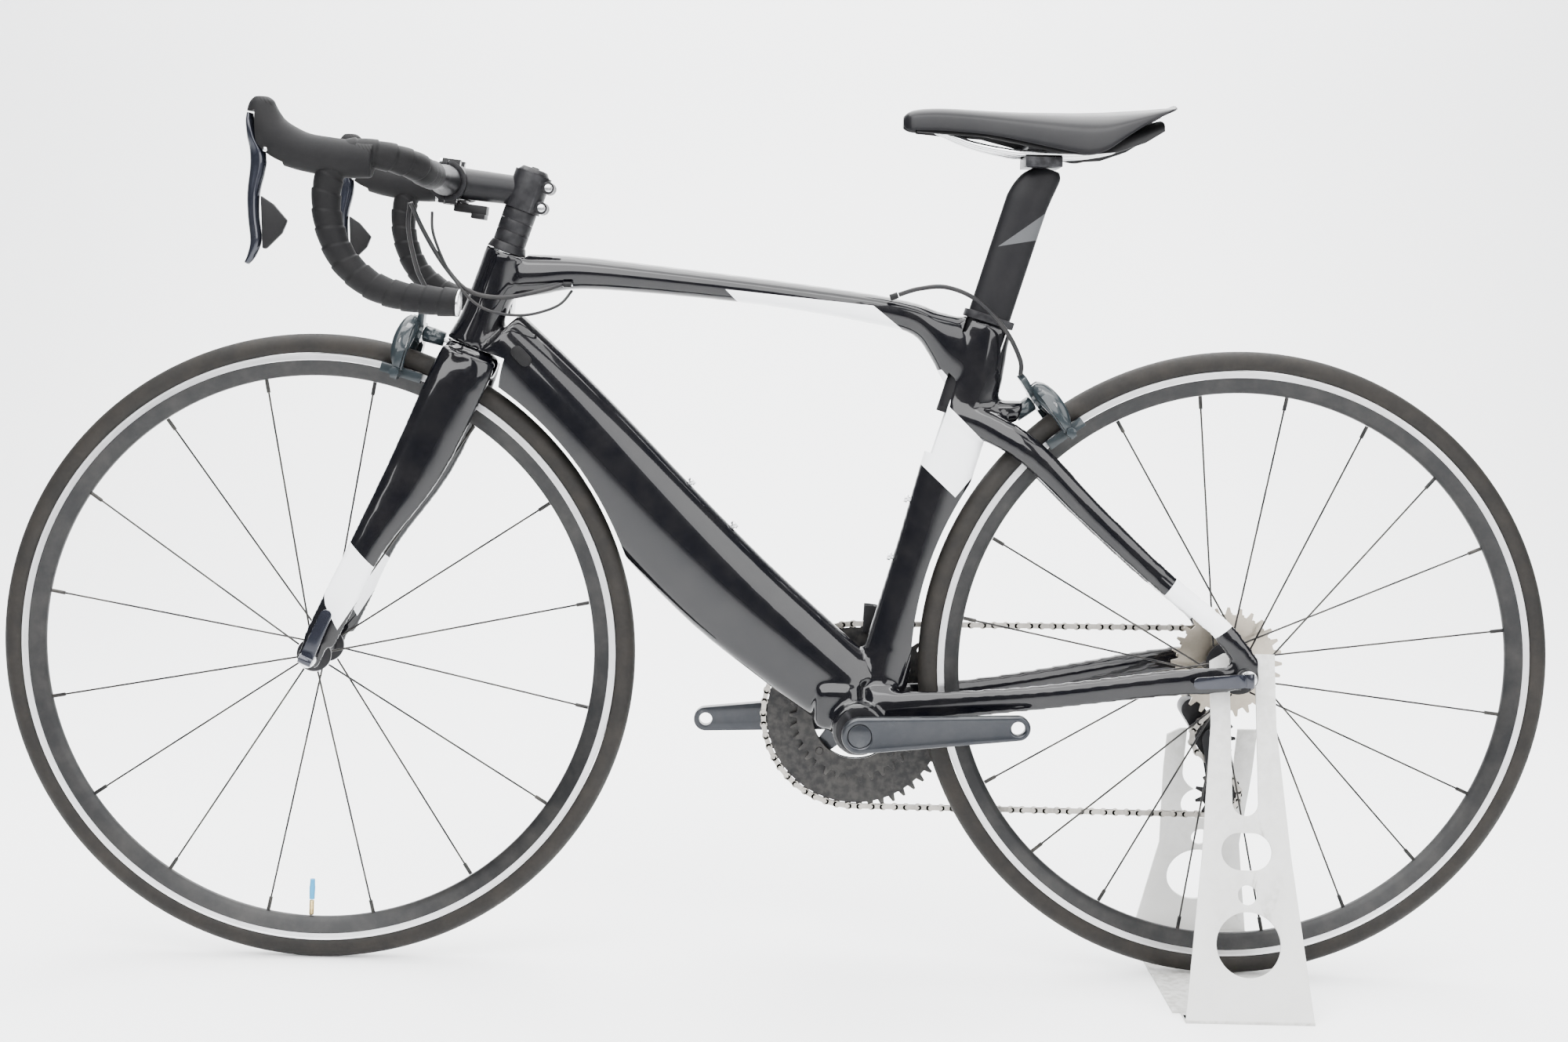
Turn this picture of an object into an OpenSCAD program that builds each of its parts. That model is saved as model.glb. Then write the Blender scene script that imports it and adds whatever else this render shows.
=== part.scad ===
// Road bicycle standing in a sheet-metal display stand.
// Axes: the bicycle points to -X, its left side is -Y, +Z is up.
// Origin: on the floor, half way between the two axles.

/* [Wheels] */
// Outer radius of both tyres
tyre_r = 336; // [280:1:340]
// Width of the tyres
tyre_w = 25; // [23:1:28]
// Distance between the two axles
wheelbase = 974; // [960:1:1180]
// Height of the rim from its bead seat to its spoke edge
rim_depth = 24; // [18:1:30]
// Width of the rim across the brake tracks
rim_w = 20.5; // [18:0.5:24]
// Spokes in the front wheel
front_spoke_count = 16; // [12:2:24]
// Spokes in the rear wheel
rear_spoke_count = 20; // [16:2:28]
// Radius of a spoke
spoke_r = 1; // [0.8:0.1:1.4]
// Distance between the fork ends
front_old = 100; // [96:1:110]
// Distance between the rear frame ends
rear_old = 130; // [126:1:135]
// Radius of the wheel axles
axle_r = 4.5; // [4:0.1:6]

/* [Frame] */
// Distance from the bottom bracket to the rear axle
chainstay = 405; // [400:1:480]
// Height of the front axle above the bottom bracket
bb_drop = 67; // [55:1:80]
// Angle of the steering axis from the floor
head_angle = 71; // [69:0.5:74]
// Angle of the seat tube from the floor
seat_angle = 73.5; // [72:0.5:75]
// Length of the head tube
head_len = 105; // [95:1:140]
// Distance of the front axle ahead of the steering axis
rake = 45; // [40:1:50]
// Gap between the tyre and the fork crown, along the steering axis
crown_gap = 20; // [16:1:30]
// Length of the seat tube above the bottom bracket
seat_tube_len = 448; // [430:1:540]
// Front to back depth of the down tube at its middle
down_tube_d = 104; // [80:1:110]
// Sideways width of the down tube
down_tube_w = 52; // [44:1:58]
// Width of the bottom bracket shell
shell_w = 80; // [76:1:84]
// Width of the top tube
top_tube_w = 36; // [30:1:42]

/* [Cockpit] */
// Height of the stack of spacers under the stem
spacer_h = 37; // [10:1:45]
// Length of the stem from the steerer to the bar
stem_len = 82; // [70:1:110]
// Height of the stem's steerer clamp
stem_clamp_h = 40; // [36:1:44]
// Drop of the stem below a right angle to the steerer
stem_angle = 13; // [6:1:17]
// Distance between the centres of the two drops
bar_w = 400; // [380:10:480]
// Radius of the bar in the stem clamp
bar_clamp_r = 15.9; // [13:0.1:17.5]
// Radius of the bar in the drops
bar_r = 11.9; // [11:0.1:12.5]
// Thickness of the bar tape
tape_t = 2.6; // [2:0.1:3]
// Radius of the fork's steerer
steerer_r = 14.3; // [12.7:0.1:14.5]

/* [Seat] */
// Depth of the seatpost, front to back
post_d = 45; // [38:1:50]
// Thickness of the seatpost
post_w = 21; // [18:1:26]
// Height of the seatpost's head above the bottom bracket, along the tube
post_top = 614; // [560:1:640]
// Length of the saddle
saddle_len = 276; // [260:1:300]
// Width of the saddle at its back
saddle_w = 138; // [120:1:160]

/* [Drive] */
// Length of the crank arms
crank_len = 165; // [160:2.5:180]
// Teeth on the large chainring
big_ring = 50; // [46:1:53]
// Teeth on the small chainring
small_ring = 34; // [34:1:39]
// Teeth on the sprocket that the chain runs on
sprocket = 17; // [15:1:21]
// Distance between the outer faces of the crank arms
crank_span = 146; // [142:1:156]
// Radius of the pedal threads
pedal_r = 7.1; // [6.5:0.1:7.2]
// Angle that the left crank points up behind the bottom bracket
crank_angle = 4; // [0:1:20]

/* [Stand] */
// Thickness of the stand's sheet
sheet = 3; // [2:0.5:4]
// Distance between the feet of the two uprights
stand_w = 316; // [280:4:340]
// Length of the stand along the bicycle
stand_len = 131; // [120:1:160]
// Height of the left upright
stand_h = 360; // [350:1:365]
// Height of the right upright
stand_h_right = 255; // [230:1:262]
// Width of the slot that takes the axle
stand_slot = 27; // [24:1:32]

/* [Hidden] */

// Gap left between pieces that move past each other or only rest together
gap = 0.3;
// Radial clearance of a running fit
run = 0.08;
// Link length of the chain
link = 12.7;
// Sideways place of the chain and of the large chainring
chain_y = 43;

// Step from the large chainring to the small one, and the circle of their bolts
ring_step = 7;
bolt_circle = 55;
// Thickness of the sprockets and rings
tooth_w = 1.8;
// Teeth of the sprockets, and the step between them
cogs = [11, 12, 13, 14, 15, 17, 19, 21, 23, 25, 28];
cog_step = 3.7;
// Teeth of the derailleur pulleys
pulley_teeth = 11;
// Half the inside width of the derailleur cage
cage_gap = 5.5;
// Thickness of the crank arms and radius of the spindle
arm_t = 13;
spindle_r = 12;
// Radius of the bottom bracket cups
bb_r = 22;
// Depth of the brake track
track_d = 11;
// Gap between a brake shoe and the rim
pad_gap = 1.8;
// Radius of the brake pivot bolts, and the lean of each brake from upright
brake_bolt_r = 3;
front_brake_lean = 16.4;
rear_brake_lean = -37.5;
// Places of the hub flanges and of the inner end of the sprockets
front_flange = 34;
rear_flange_left = -36;
rear_flange_right = 18;
cassette_in = 24;
// Gap between a spoke and its flange, and sideways step between crossing spokes
spoke_gap = 0.8;
spoke_side = 1.3;
// Length of the quick release barrels, radius of the cams, lean of the levers
barrel_l = 9;
cam_r = 5;
front_qr_lean = 24;
rear_qr_lean = -94;
// Width of the slot in the right upright
stand_slot_right = 56;
// Depth that the seatpost stands in the seat tube, and the room under it
post_in = 103;
post_room = 45;
// Place of the seatpost ahead of the seat tube axis
seat_post_n = -2;
// Radius of the saddle rails and number of steps across the saddle
rail_r = 3.5;
saddle_steps = 12;
// Height of the cap over the stem, half width of the bar clamp, place of the stem's pinch bolts
cap_h = 5;
clamp_half = 22;
pinch_n = 21;
// Sides of the bar's section, and the step of the bar where the tape starts
bar_sides = 12;
tape_from = 8;
// Derailleur hanger bolt, from the rear axle
hanger_x = 9;
hanger_z = -27;
// Radius of the outer cables, and where they go into the top tube and come out of it
cable_r = 2.5;
cable_in = [-222, -18.2, 729];
cable_out = [112, -16, 730];

bead_r = tyre_r - 20;
rim_inner = bead_r - rim_depth;
brake_r = tyre_r + 20;
pad_r = bead_r - track_d / 2;
half_bar = bar_w / 2;
stay_out = rear_old / 2 + 4;
front_out = front_old / 2 + 7;
rear_out = rear_old / 2 + 8;
knuckle_y = chain_y + 12;

front_x = -wheelbase / 2;
rear_x = wheelbase / 2;
front_z = tyre_r;
rear_z = tyre_r + sheet + gap;
bb_z = front_z - bb_drop;
bb_x = rear_x - sqrt(pow(chainstay, 2) - pow(rear_z - bb_z, 2));

// Steering axis: s runs up the axis from the foot of the axle, n runs backwards across it
steer_x = front_x + rake * sin(head_angle);
steer_z = front_z - rake * cos(head_angle);
crown_s = tyre_r + crown_gap;
head_s = crown_s + 5;
head_top = head_s + head_len;
cover_h = 9;
stem_s = head_top + cover_h + spacer_h;
stem_top = stem_s + stem_clamp_h;
clamp_s = stem_s + stem_clamp_h / 2 - stem_len * sin(stem_angle);
clamp_n = -stem_len * cos(stem_angle);

function steer_pt(s, n, y = 0) = [steer_x + s * cos(head_angle) + n * sin(head_angle), y,
                                  steer_z + s * sin(head_angle) - n * cos(head_angle)];
function seat_pt(s, n, y = 0) = [bb_x + s * cos(seat_angle) + n * sin(seat_angle), y,
                                 bb_z + s * sin(seat_angle) - n * cos(seat_angle)];
function flip(p) = [p[0], -p[1], p[2]];
function pitch_r(teeth) = link / 2 / sin(180 / teeth);

bar_c = steer_pt(clamp_s, clamp_n);
lever_pivot = bar_c + [-138, 0, 13];
post_bottom = seat_tube_len - post_in;
head_pt = seat_pt(post_top, 0);
rail_z = head_pt[2] + 17.1;
saddle_x = head_pt[0] - 1;
saddle_nose = saddle_x - 142;
top_a = steer_pt(head_top - 24, 22);
top_b = seat_pt(seat_tube_len - 34, 6);
down_a = steer_pt(head_s + 20, 22);
down_b = [bb_x + 12, 0, bb_z + 14];
stand_lean = atan((stand_w / 2 - 52) / (rear_z + 6));
fd_r = pitch_r(big_ring) + 8;
guide_pt = [rear_x - 8, rear_z - 87];
tension_pt = [rear_x + 2, rear_z - 150];

module at_steer() translate([steer_x, 0, steer_z]) rotate([0, 90 - head_angle, 0]) children();
module at_seat() translate([bb_x, 0, bb_z]) rotate([0, 90 - seat_angle, 0]) children();
module at_front() translate([front_x, 0, front_z]) children();
module at_rear() translate([rear_x, 0, rear_z]) children();
module at_bb() translate([bb_x, 0, bb_z]) children();
// Turns a shape drawn along Z so that it lies along Y
module along_y() rotate([-90, 0, 0]) children();
module mirrored(side) mirror([0, side > 0 ? 1 : 0, 0]) children();

// A round bar between two points
module rod(a, b, r) {
    d = b - a;
    translate(a) rotate([0, acos(d[2] / norm(d)), atan2(d[1], d[0])]) cylinder(r = r, h = norm(d), $fn = 24);
}

// A ring from one radius to another, standing on Z = 0
module ring(outer, inner, h) difference() {
    cylinder(r = outer, h = h, $fn = 64);
    translate([0, 0, -1]) cylinder(r = inner, h = h + 2, $fn = 64);
}

// Smooth curve through chosen points
function curve(a, b, c, d, t) = 0.5 * (2 * b + (c - a) * t + (2 * a - 5 * b + 4 * c - d) * t * t
    + (3 * b - a - 3 * c + d) * t * t * t);
function smooth(p, k) = [for (i = [0 : len(p) - 2], j = [0 : k - 1])
    curve(p[max(i - 1, 0)], p[i], p[i + 1], p[min(i + 2, len(p) - 1)], j / k), p[len(p) - 1]];
function tangent(p, i) = let (d = p[min(i + 1, len(p) - 1)] - p[max(i - 1, 0)]) d / norm(d);
function carried(p, u, i = 0) = i == len(p) ? [] :
    let (t = tangent(p, i), v = u - t * (u * t), w = v / norm(v)) concat([w], carried(p, w, i + 1));

// A closed skin over a list of rings that have the same number of points
module skin(rings) {
    n = len(rings[0]);
    m = len(rings);
    polyhedron(points = [for (r = rings) each r], faces = concat(
        [[for (j = [0 : n - 1]) n - 1 - j]],
        [for (i = [0 : m - 2], j = [0 : n - 1]) [i * n + j, i * n + (j + 1) % n, (i + 1) * n + j]],
        [for (i = [0 : m - 2], j = [0 : n - 1]) [i * n + (j + 1) % n, (i + 1) * n + (j + 1) % n, (i + 1) * n + j]],
        [[for (j = [0 : n - 1]) (m - 1) * n + j]]), convexity = 6);
}

// A tube of round section along a path, r_at gives one radius for each point
module sweep(path, r_at, sides = 8, up = [0, 0, 1]) {
    u = carried(path, up);
    skin([for (i = [0 : len(path) - 1]) let (t = tangent(path, i), v = cross(t, u[i]))
        [for (j = [0 : sides - 1]) path[i] + r_at[i] * (u[i] * cos(360 * j / sides) - v * sin(360 * j / sides))]]);
}
module cable(points, r, k = 3) {
    path = smooth(points, k);
    sweep(path, [for (p = path) r], 8);
}

// One slice of a frame tube: place, lean from upright, depth and width
module slice(s) translate(s[0]) rotate([0, s[1], 0]) linear_extrude(1, center = true)
    scale([s[2], s[3]]) circle(d = 1, $fn = 20);
// A closed skin through slices; side keeps its faces outward whichever way the slices run
function slice_ring(s, side) = [for (j = [0 : 19]) let (t = side * 18 * j, u = s[2] / 2 * cos(t))
    s[0] + [u * cos(s[1]), s[3] / 2 * sin(t), -u * sin(s[1])]];
module tube(slices) {
    ahead = (slices[1][0] - slices[0][0]) * [sin(slices[0][1]), 0, cos(slices[0][1])];
    skin([for (s = slices) slice_ring(s, ahead > 0 ? -1 : 1)]);
}

// ---------- Stand ----------
module upright_outline(h, top_half, slot, slot_bottom) difference() {
    polygon([[-stand_len / 2, 0], [stand_len / 2, 0], [stand_len / 2 - 20, h * 0.45], [top_half, h * 0.8],
             [top_half, h], [top_half - 14, h], [-top_half + 14, h], [-top_half, h - 8], [-top_half, h * 0.8],
             [-stand_len / 2 + 20, h * 0.45]]);
    translate([0, slot_bottom]) circle(d = slot, $fn = 40);
    translate([-slot / 2, slot_bottom]) square([slot, h]);
}
module upright(h, top_half, slot, slot_bottom) rotate([90, 0, 0]) translate([0, 0, -sheet]) linear_extrude(sheet)
difference() {
    upright_outline(h / cos(stand_lean), top_half, slot, slot_bottom / cos(stand_lean));
    for (x = [-7, 7]) translate([x, 172]) circle(r = 19, $fn = 40);
    translate([-7, 153]) square([14, 38]);
    translate([0, 128]) circle(r = 10, $fn = 32);
    translate([0, 78]) circle(r = 33, $fn = 48);
}
module stand() color("white") translate([rear_x, 0, 0]) {
    lift = sheet * sin(stand_lean);
    translate([-stand_len / 2, -stand_w / 2, 0]) cube([stand_len, stand_w, sheet]);
    translate([-stand_len / 2 - 8, -stand_w / 2 + 30, 0]) cube([9, stand_w - 60, sheet]);
    translate([0, -stand_w / 2, lift]) rotate([-stand_lean, 0, 0]) upright(stand_h, 34, stand_slot, 212);
    translate([0, stand_w / 2, lift]) rotate([stand_lean, 0, 0]) translate([0, -sheet, 0])
        upright(stand_h_right, 50, stand_slot_right, 205);
}

// ---------- Wheels ----------
module tyre() color("dimgray") along_y() rotate_extrude($fn = 96) {
    half = tyre_w / 2;
    difference() {
        union() {
            translate([tyre_r - half, 0]) circle(r = half, $fn = 48);
            translate([bead_r, -half + 3.5]) square([9, tyre_w - 7]);
        }
        translate([tyre_r - half - 1, 0]) circle(r = half - 3, $fn = 40);
        translate([bead_r - 5, -half + 6]) square([14, tyre_w - 12]);
        translate([0, -tyre_w]) square([bead_r, 2 * tyre_w]);
    }
}
module rim() color("black") along_y() rotate_extrude($fn = 96) difference() {
    polygon([[bead_r - gap, -rim_w / 2], [bead_r - gap, rim_w / 2], [bead_r - track_d, rim_w / 2],
             [rim_inner + 3, 4], [rim_inner, 2.5], [rim_inner, -2.5], [rim_inner + 3, -4],
             [bead_r - track_d, -rim_w / 2]]);
    polygon([[bead_r + 1, -rim_w / 2 + 3], [bead_r + 1, rim_w / 2 - 3], [bead_r - 6, rim_w / 2 - 3],
             [bead_r - 8, 0], [bead_r - 6, -rim_w / 2 + 3]]);
}
// Spokes lean to alternate flanges, turn is how far each leaves the hub from a straight radius
module spokes(count, flange_r, flange_left, flange_right, turn) color("black")
for (i = [0 : count - 1]) {
    a = 360 * (i + 0.5) / count;
    side = i % 2 == 0 ? flange_left : flange_right;
    lead = floor(i / 2) % 2 == 0 ? 1 : -1;
    b = a + lead * turn;
    hub_end = (flange_r + spoke_gap) * [cos(b), 0, sin(b)] + [0, side + lead * spoke_side, 0];
    rim_end = (rim_inner - gap) * [cos(a), 0, sin(a)] + [0, sign(side), 0];
    rod(hub_end, rim_end, spoke_r);
    rod(rim_end + (hub_end - rim_end) * 0.05, rim_end, spoke_r + 1);
}
module valve() color("goldenrod") rotate([0, -178, 0]) {
    translate([0, 0, rim_inner - gap - 34]) cylinder(r = 2.3, h = 34, $fn = 24);
    translate([0, 0, rim_inner - gap - 48]) cylinder(r = 3.3, h = 15, $fn = 24);
}
module hub(left, right, flange_left, flange_right, flange_r, body_r) color("black") along_y() difference() {
    union() {
        translate([0, 0, -left]) cylinder(r = 8, h = left + right, $fn = 48);
        translate([0, 0, flange_left - 4]) cylinder(r1 = 11, r2 = flange_r, h = 4, $fn = 48);
        translate([0, 0, flange_left]) cylinder(r = flange_r, h = 4, $fn = 48);
        translate([0, 0, flange_right - 4]) cylinder(r = flange_r, h = 4, $fn = 48);
        translate([0, 0, flange_right]) cylinder(r1 = flange_r, r2 = 11, h = 4, $fn = 48);
        translate([0, 0, flange_left]) cylinder(r = body_r, h = flange_right - flange_left, $fn = 48);
    }
    translate([0, 0, -left - 1]) cylinder(r = axle_r + run, h = left + right + 2, $fn = 48);
}
module front_tyre() at_front() tyre();
module front_rim() at_front() rim();
module front_spokes() at_front() spokes(front_spoke_count, 18, -front_flange + 2, front_flange - 2, 0);
module front_hub() at_front() hub(front_old / 2 - 1, front_old / 2 - 1, -front_flange, front_flange, 18, 10);
module front_valve() at_front() valve();
module rear_tyre() at_rear() tyre();
module rear_rim() at_rear() rim();
module rear_spokes() at_rear() spokes(rear_spoke_count, 24, rear_flange_left + 2, rear_flange_right - 2, 32);
module rear_hub() at_rear() hub(rear_old / 2 - 1, cassette_in - 1, rear_flange_left, rear_flange_right, 24, 13);
module rear_valve() at_rear() valve();

// Axle with the cam barrel on the left and the plain nut on the right
module axle(out) color("silver") along_y() {
    translate([0, 0, -out]) cylinder(r = axle_r, h = 2 * out, $fn = 40);
    translate([0, 0, -out - barrel_l]) cylinder(r = 9, h = barrel_l, $fn = 40);
    translate([0, 0, out]) cylinder(r1 = 9, r2 = 7, h = 10, $fn = 40);
}
module front_axle() at_front() axle(front_out);
module rear_axle() at_rear() axle(rear_out);

// Quick release lever with its cam across the end of the barrel; drawn pointing up
module qr_lever(out) color("dimgray") translate([0, -out - barrel_l - cam_r - 0.5, 0]) {
    rotate([0, 90, 0]) cylinder(r = cam_r, h = 14, center = true, $fn = 40);
    hull() {
        translate([0, 2, 8]) rotate([90, 0, 0]) cylinder(r = 7, h = 4.5, $fn = 24);
        translate([0, 1, 52]) rotate([90, 0, 0]) cylinder(r = 6, h = 3, $fn = 24);
    }
}
module front_qr_lever() at_front() rotate([0, front_qr_lean, 0]) qr_lever(front_out);
module rear_qr_lever() at_rear() rotate([0, rear_qr_lean, 0]) qr_lever(rear_out);

// ---------- Frame ----------
function on_line(a, b, t, off, y = 0) = let (d = (b - a) / norm(b - a))
    a + (b - a) * t + off * [-d[2], 0, d[0]] + [0, y, 0];
function lean_of(a, b) = atan2(b[0] - a[0], b[2] - a[2]);

module top_tube() {
    lean = lean_of(top_a, top_b);
    // distance along, rise above the straight line, depth
    rows = [[0, 4, 46], [0.05, 9, 42], [0.14, 17, 34], [0.36, 24, 30], [0.57, 22, 31], [0.75, 15, 41],
            [0.84, 6, 56], [0.92, -8, 80], [1, -16, 86]];
    tube([for (r = rows) [on_line(top_a, top_b, r[0], r[1]), lean, r[2], top_tube_w - 8 * r[0]]]);
}
// share of the length, rise above the straight line, share of the depth
down_rows = [[0, -7, 0.78], [0.1, -9, 0.86], [0.25, -12, 0.93], [0.45, -18, 1], [0.65, -18, 1], [0.82, -10, 0.93],
             [0.95, -2, 0.86]];
module down_tube() {
    lean = lean_of(down_a, down_b);
    tube([for (r = down_rows) [on_line(down_a, down_b, r[0], r[1]), lean, down_tube_d * r[2], down_tube_w]]);
}
function down_top(t) = on_line(down_a, down_b, t, lookup(t, [for (r = down_rows) [r[0], r[1]]])
    + down_tube_d / 2 * lookup(t, [for (r = down_rows) [r[0], r[2]]]));
// Places of the bottle cage bolts and the lean of each bolt from upright
function bottle_points() = let (lean = lean_of(down_a, down_b)) [
    [down_top(0.45), lean + 270], [down_top(0.565), lean + 270],
    [seat_pt(182, -20), - seat_angle], [seat_pt(246, -22), - seat_angle]];
module seat_tube() {
    // distance up, middle of the section, depth, width
    rows = [[20, 10, 60, 44], [90, 9, 56, 36], [200, 8, 56, 32], [300, 6, 58, 32], [380, 6, 56, 32],
            [seat_tube_len - 20, 0, 55, 31], [seat_tube_len, -2, 54, 30]];
    tube([for (r = rows) [seat_pt(r[0], r[1]), 90 - seat_angle, r[2], r[3]]]);
}
function rear_pt(x, y, z) = [rear_x + x, y, rear_z + z];
module seat_stay(side) {
    rows = [[seat_pt(345, -10, 9 * side), 100, 30, 16], [seat_pt(345, 30, 15 * side), 115, 32, 18],
            [rear_pt(-226, 27 * side, 226), 134, 31, 17], [rear_pt(-160, 33 * side, 163), 134, 27, 14],
            [rear_pt(-90, 45 * side, 100), 134, 24, 12], [rear_pt(-28, (stay_out - 2) * side, 50), 140, 24, 9],
            [rear_pt(0, stay_out * side, 14), 165, 28, 7]];
    tube(rows);
}
module chain_stay(side) {
    rows = [[[bb_x + 14, 24.5 * side, bb_z + 16], 90, 46, 18], [[bb_x + 60, 26 * side, bb_z + 22], 90, 38, 14],
            [[bb_x + 120, 33 * side, bb_z + 30], 86, 30, 11], [[bb_x + 200, 48 * side, bb_z + 42], 84, 27, 14],
            [rear_pt(-90, 64 * side, -10), 84, 28, 12], [rear_pt(-30, (stay_out + 1.5) * side, -3), 86, 30, 8],
            [rear_pt(-6, stay_out * side, 0), 90, 28, 7]];
    tube(rows);
}
module dropout(side) translate([rear_x, side * stay_out, rear_z]) rotate([90, 0, 0])
    linear_extrude(7, center = true) difference() {
        hull() {
            circle(r = 15, $fn = 32);
            translate([-14, 4]) circle(r = 13, $fn = 32);
            translate([2, 18]) circle(r = 11, $fn = 32);
        }
        circle(r = axle_r + gap, $fn = 32);
        translate([-axle_r - gap, -30]) square([2 * (axle_r + gap), 30]);
    }
module post_section(grow) union() {
    intersection() {
        square([post_d + 2 * grow, post_w + 2 * grow], center = true);
        translate([-post_d / 2 + post_w / 2, 0]) circle(d = post_w + 2 * grow, $fn = 48);
    }
    polygon([[-post_d / 2 + post_w / 2, -post_w / 2 - grow], [2, -post_w / 2 - grow],
             [post_d / 2 + grow, -4 - grow], [post_d / 2 + grow, 4 + grow], [2, post_w / 2 + grow],
             [-post_d / 2 + post_w / 2, post_w / 2 + grow]]);
}
module head_tube() tube([for (r = [[head_s, -1, 56, 50], [head_s + 30, 0, 46, 44], [head_top - 30, 1, 45, 40],
                                   [head_top, 2, 47, 42]])
                         [steer_pt(r[0], r[1]), 90 - head_angle, r[2], r[3]]]);
module at_front_brake() at_front() rotate([0, front_brake_lean, 0]) children();
module at_rear_brake() at_rear() rotate([0, rear_brake_lean, 0]) children();
module frame() color("#0c0d14") difference() {
    union() {
        head_tube();
        top_tube();
        down_tube();
        seat_tube();
        at_bb() along_y() translate([0, 0, -shell_w / 2]) cylinder(r = bb_r + 6, h = shell_w, $fn = 48);
        at_bb() hull() {
            translate([-22, 0, 22]) cube([52, 62, 52], center = true);
            translate([24, 0, 26]) cube([40, 56, 40], center = true);
        }
        for (side = [-1, 1]) {
            seat_stay(side);
            chain_stay(side);
            dropout(side);
        }
        hull() {
            at_rear_brake() translate([-34, 0, brake_r + 2]) cube([22, 26, 20], center = true);
            translate(seat_pt(350, 20)) cube([16, 26, 30], center = true);
        }
    }
    // steerer, bearing seats and the sweep of the fork crown
    at_steer() translate([0, 0, head_s - 20]) cylinder(r = steerer_r + 4, h = head_len + 60, $fn = 48);
    at_steer() translate([0, 0, crown_s - 60]) cylinder(r = 46, h = 60 + head_s - crown_s, $fn = 64);
    at_steer() translate([0, 0, head_s - 1]) cylinder(r = 20 + gap, h = 9 + gap, $fn = 48);
    at_steer() translate([0, 0, head_top - 8 - gap]) cylinder(r = 18.5 + gap, h = 60, $fn = 48);
    at_steer() translate([0, 0, head_top]) cylinder(r = 24, h = 60, $fn = 48);
    // the down tube is hollowed round the front wheel
    at_front() along_y() translate([0, 0, -60]) cylinder(r = tyre_r + 6, h = 120, $fn = 180);
    // bottom bracket
    at_bb() along_y() translate([0, 0, -shell_w / 2 - 1]) cylinder(r = bb_r - 2, h = shell_w + 2, $fn = 48);
    // seatpost
    at_seat() translate([seat_post_n, 0, post_bottom - post_room]) linear_extrude(400) post_section(gap);
    // room for the rear wheel, its brake bolt and the clamp wedge
    at_rear() along_y() translate([0, 0, -tyre_w / 2 - 6]) difference() {
        cylinder(r = tyre_r + 8, h = tyre_w + 12, $fn = 96);
        translate([0, 0, -1]) cylinder(r = 20, h = tyre_w + 14, $fn = 32);
    }
    at_rear_brake() translate([-52, 0, brake_r]) rotate([0, 90, 0]) cylinder(r = brake_bolt_r + 0.1, h = 60, $fn = 32);
    for (p = bottle_points()) translate(p[0]) rotate([0, p[1], 0]) translate([0, 0, -12])
        cylinder(r = 2.5 + gap, h = 30, $fn = 24);
}

// Small pieces of the frame
module derailleur_hanger() color("dimgray") translate([rear_x, stay_out, rear_z]) rotate([90, 0, 0])
    linear_extrude(6, center = true) difference() {
        hull() {
            translate([14, -8]) circle(r = 6, $fn = 32);
            translate([hanger_x, hanger_z]) circle(r = 9, $fn = 32);
        }
        circle(r = 15 + gap, $fn = 64);
        translate([hanger_x, hanger_z]) circle(r = 5, $fn = 32);
    }

module seat_clamp() color("#15161c") at_seat() translate([seat_post_n, 0, seat_tube_len + gap])
    linear_extrude(8) difference() {
        hull() post_section(4.5);
        post_section(0.15);
    }
module headset_bearings() color("silver") at_steer() {
    translate([0, 0, head_s]) ring(20, steerer_r + run, 7.5);
    translate([0, 0, head_top - 8]) ring(18.5, steerer_r + run, 7.5);
}
module bb_cups() color("black") at_bb() along_y() for (side = [-1, 1]) mirror([0, 0, side > 0 ? 0 : 1]) {
    difference() {
        union() {
            translate([0, 0, shell_w / 2 - 10]) cylinder(r = bb_r - 2 - 0.1, h = 10, $fn = 48);
            translate([0, 0, shell_w / 2 + 0.1]) cylinder(r = bb_r + 2, h = 1.6, $fn = 48);
            translate([0, 0, shell_w / 2 - 1]) cylinder(r = bb_r - 3, h = 2, $fn = 48);
        }
        translate([0, 0, shell_w / 2 - 20]) cylinder(r = spindle_r + run, h = 40, $fn = 48);
    }
}
module frame_bolts() color("silver") {
    for (p = bottle_points()) translate(p[0]) rotate([0, p[1], 0]) {
        translate([0, 0, -10]) cylinder(r = 2.5, h = 12, $fn = 24);
        translate([0, 0, 1.5]) cylinder(r = 4.6, h = 3.5, $fn = 32);
    }
    at_rear_brake() translate([-46, 0, brake_r]) rotate([0, 90, 0]) cylinder(r = brake_bolt_r, h = 58, $fn = 32);
}

// Port cover on the down tube, and the ferrules where the cables enter the top tube
module cable_ports() color("#4a4238") {
    translate(on_line(down_a, down_b, 0.06, 4, -down_tube_w / 2 - 0.4)) rotate([90, 0, 0]) rotate([0, 0, -45])
        linear_extrude(2) hull() {
            translate([-6, 0]) circle(r = 6.5, $fn = 32);
            translate([6, 0]) circle(r = 6.5, $fn = 32);
        }
    rod(cable_in - [9, 0, 0], cable_in, 2.9);
    rod(cable_out, cable_out + [8, -1, 3], 3.4);
}

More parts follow.
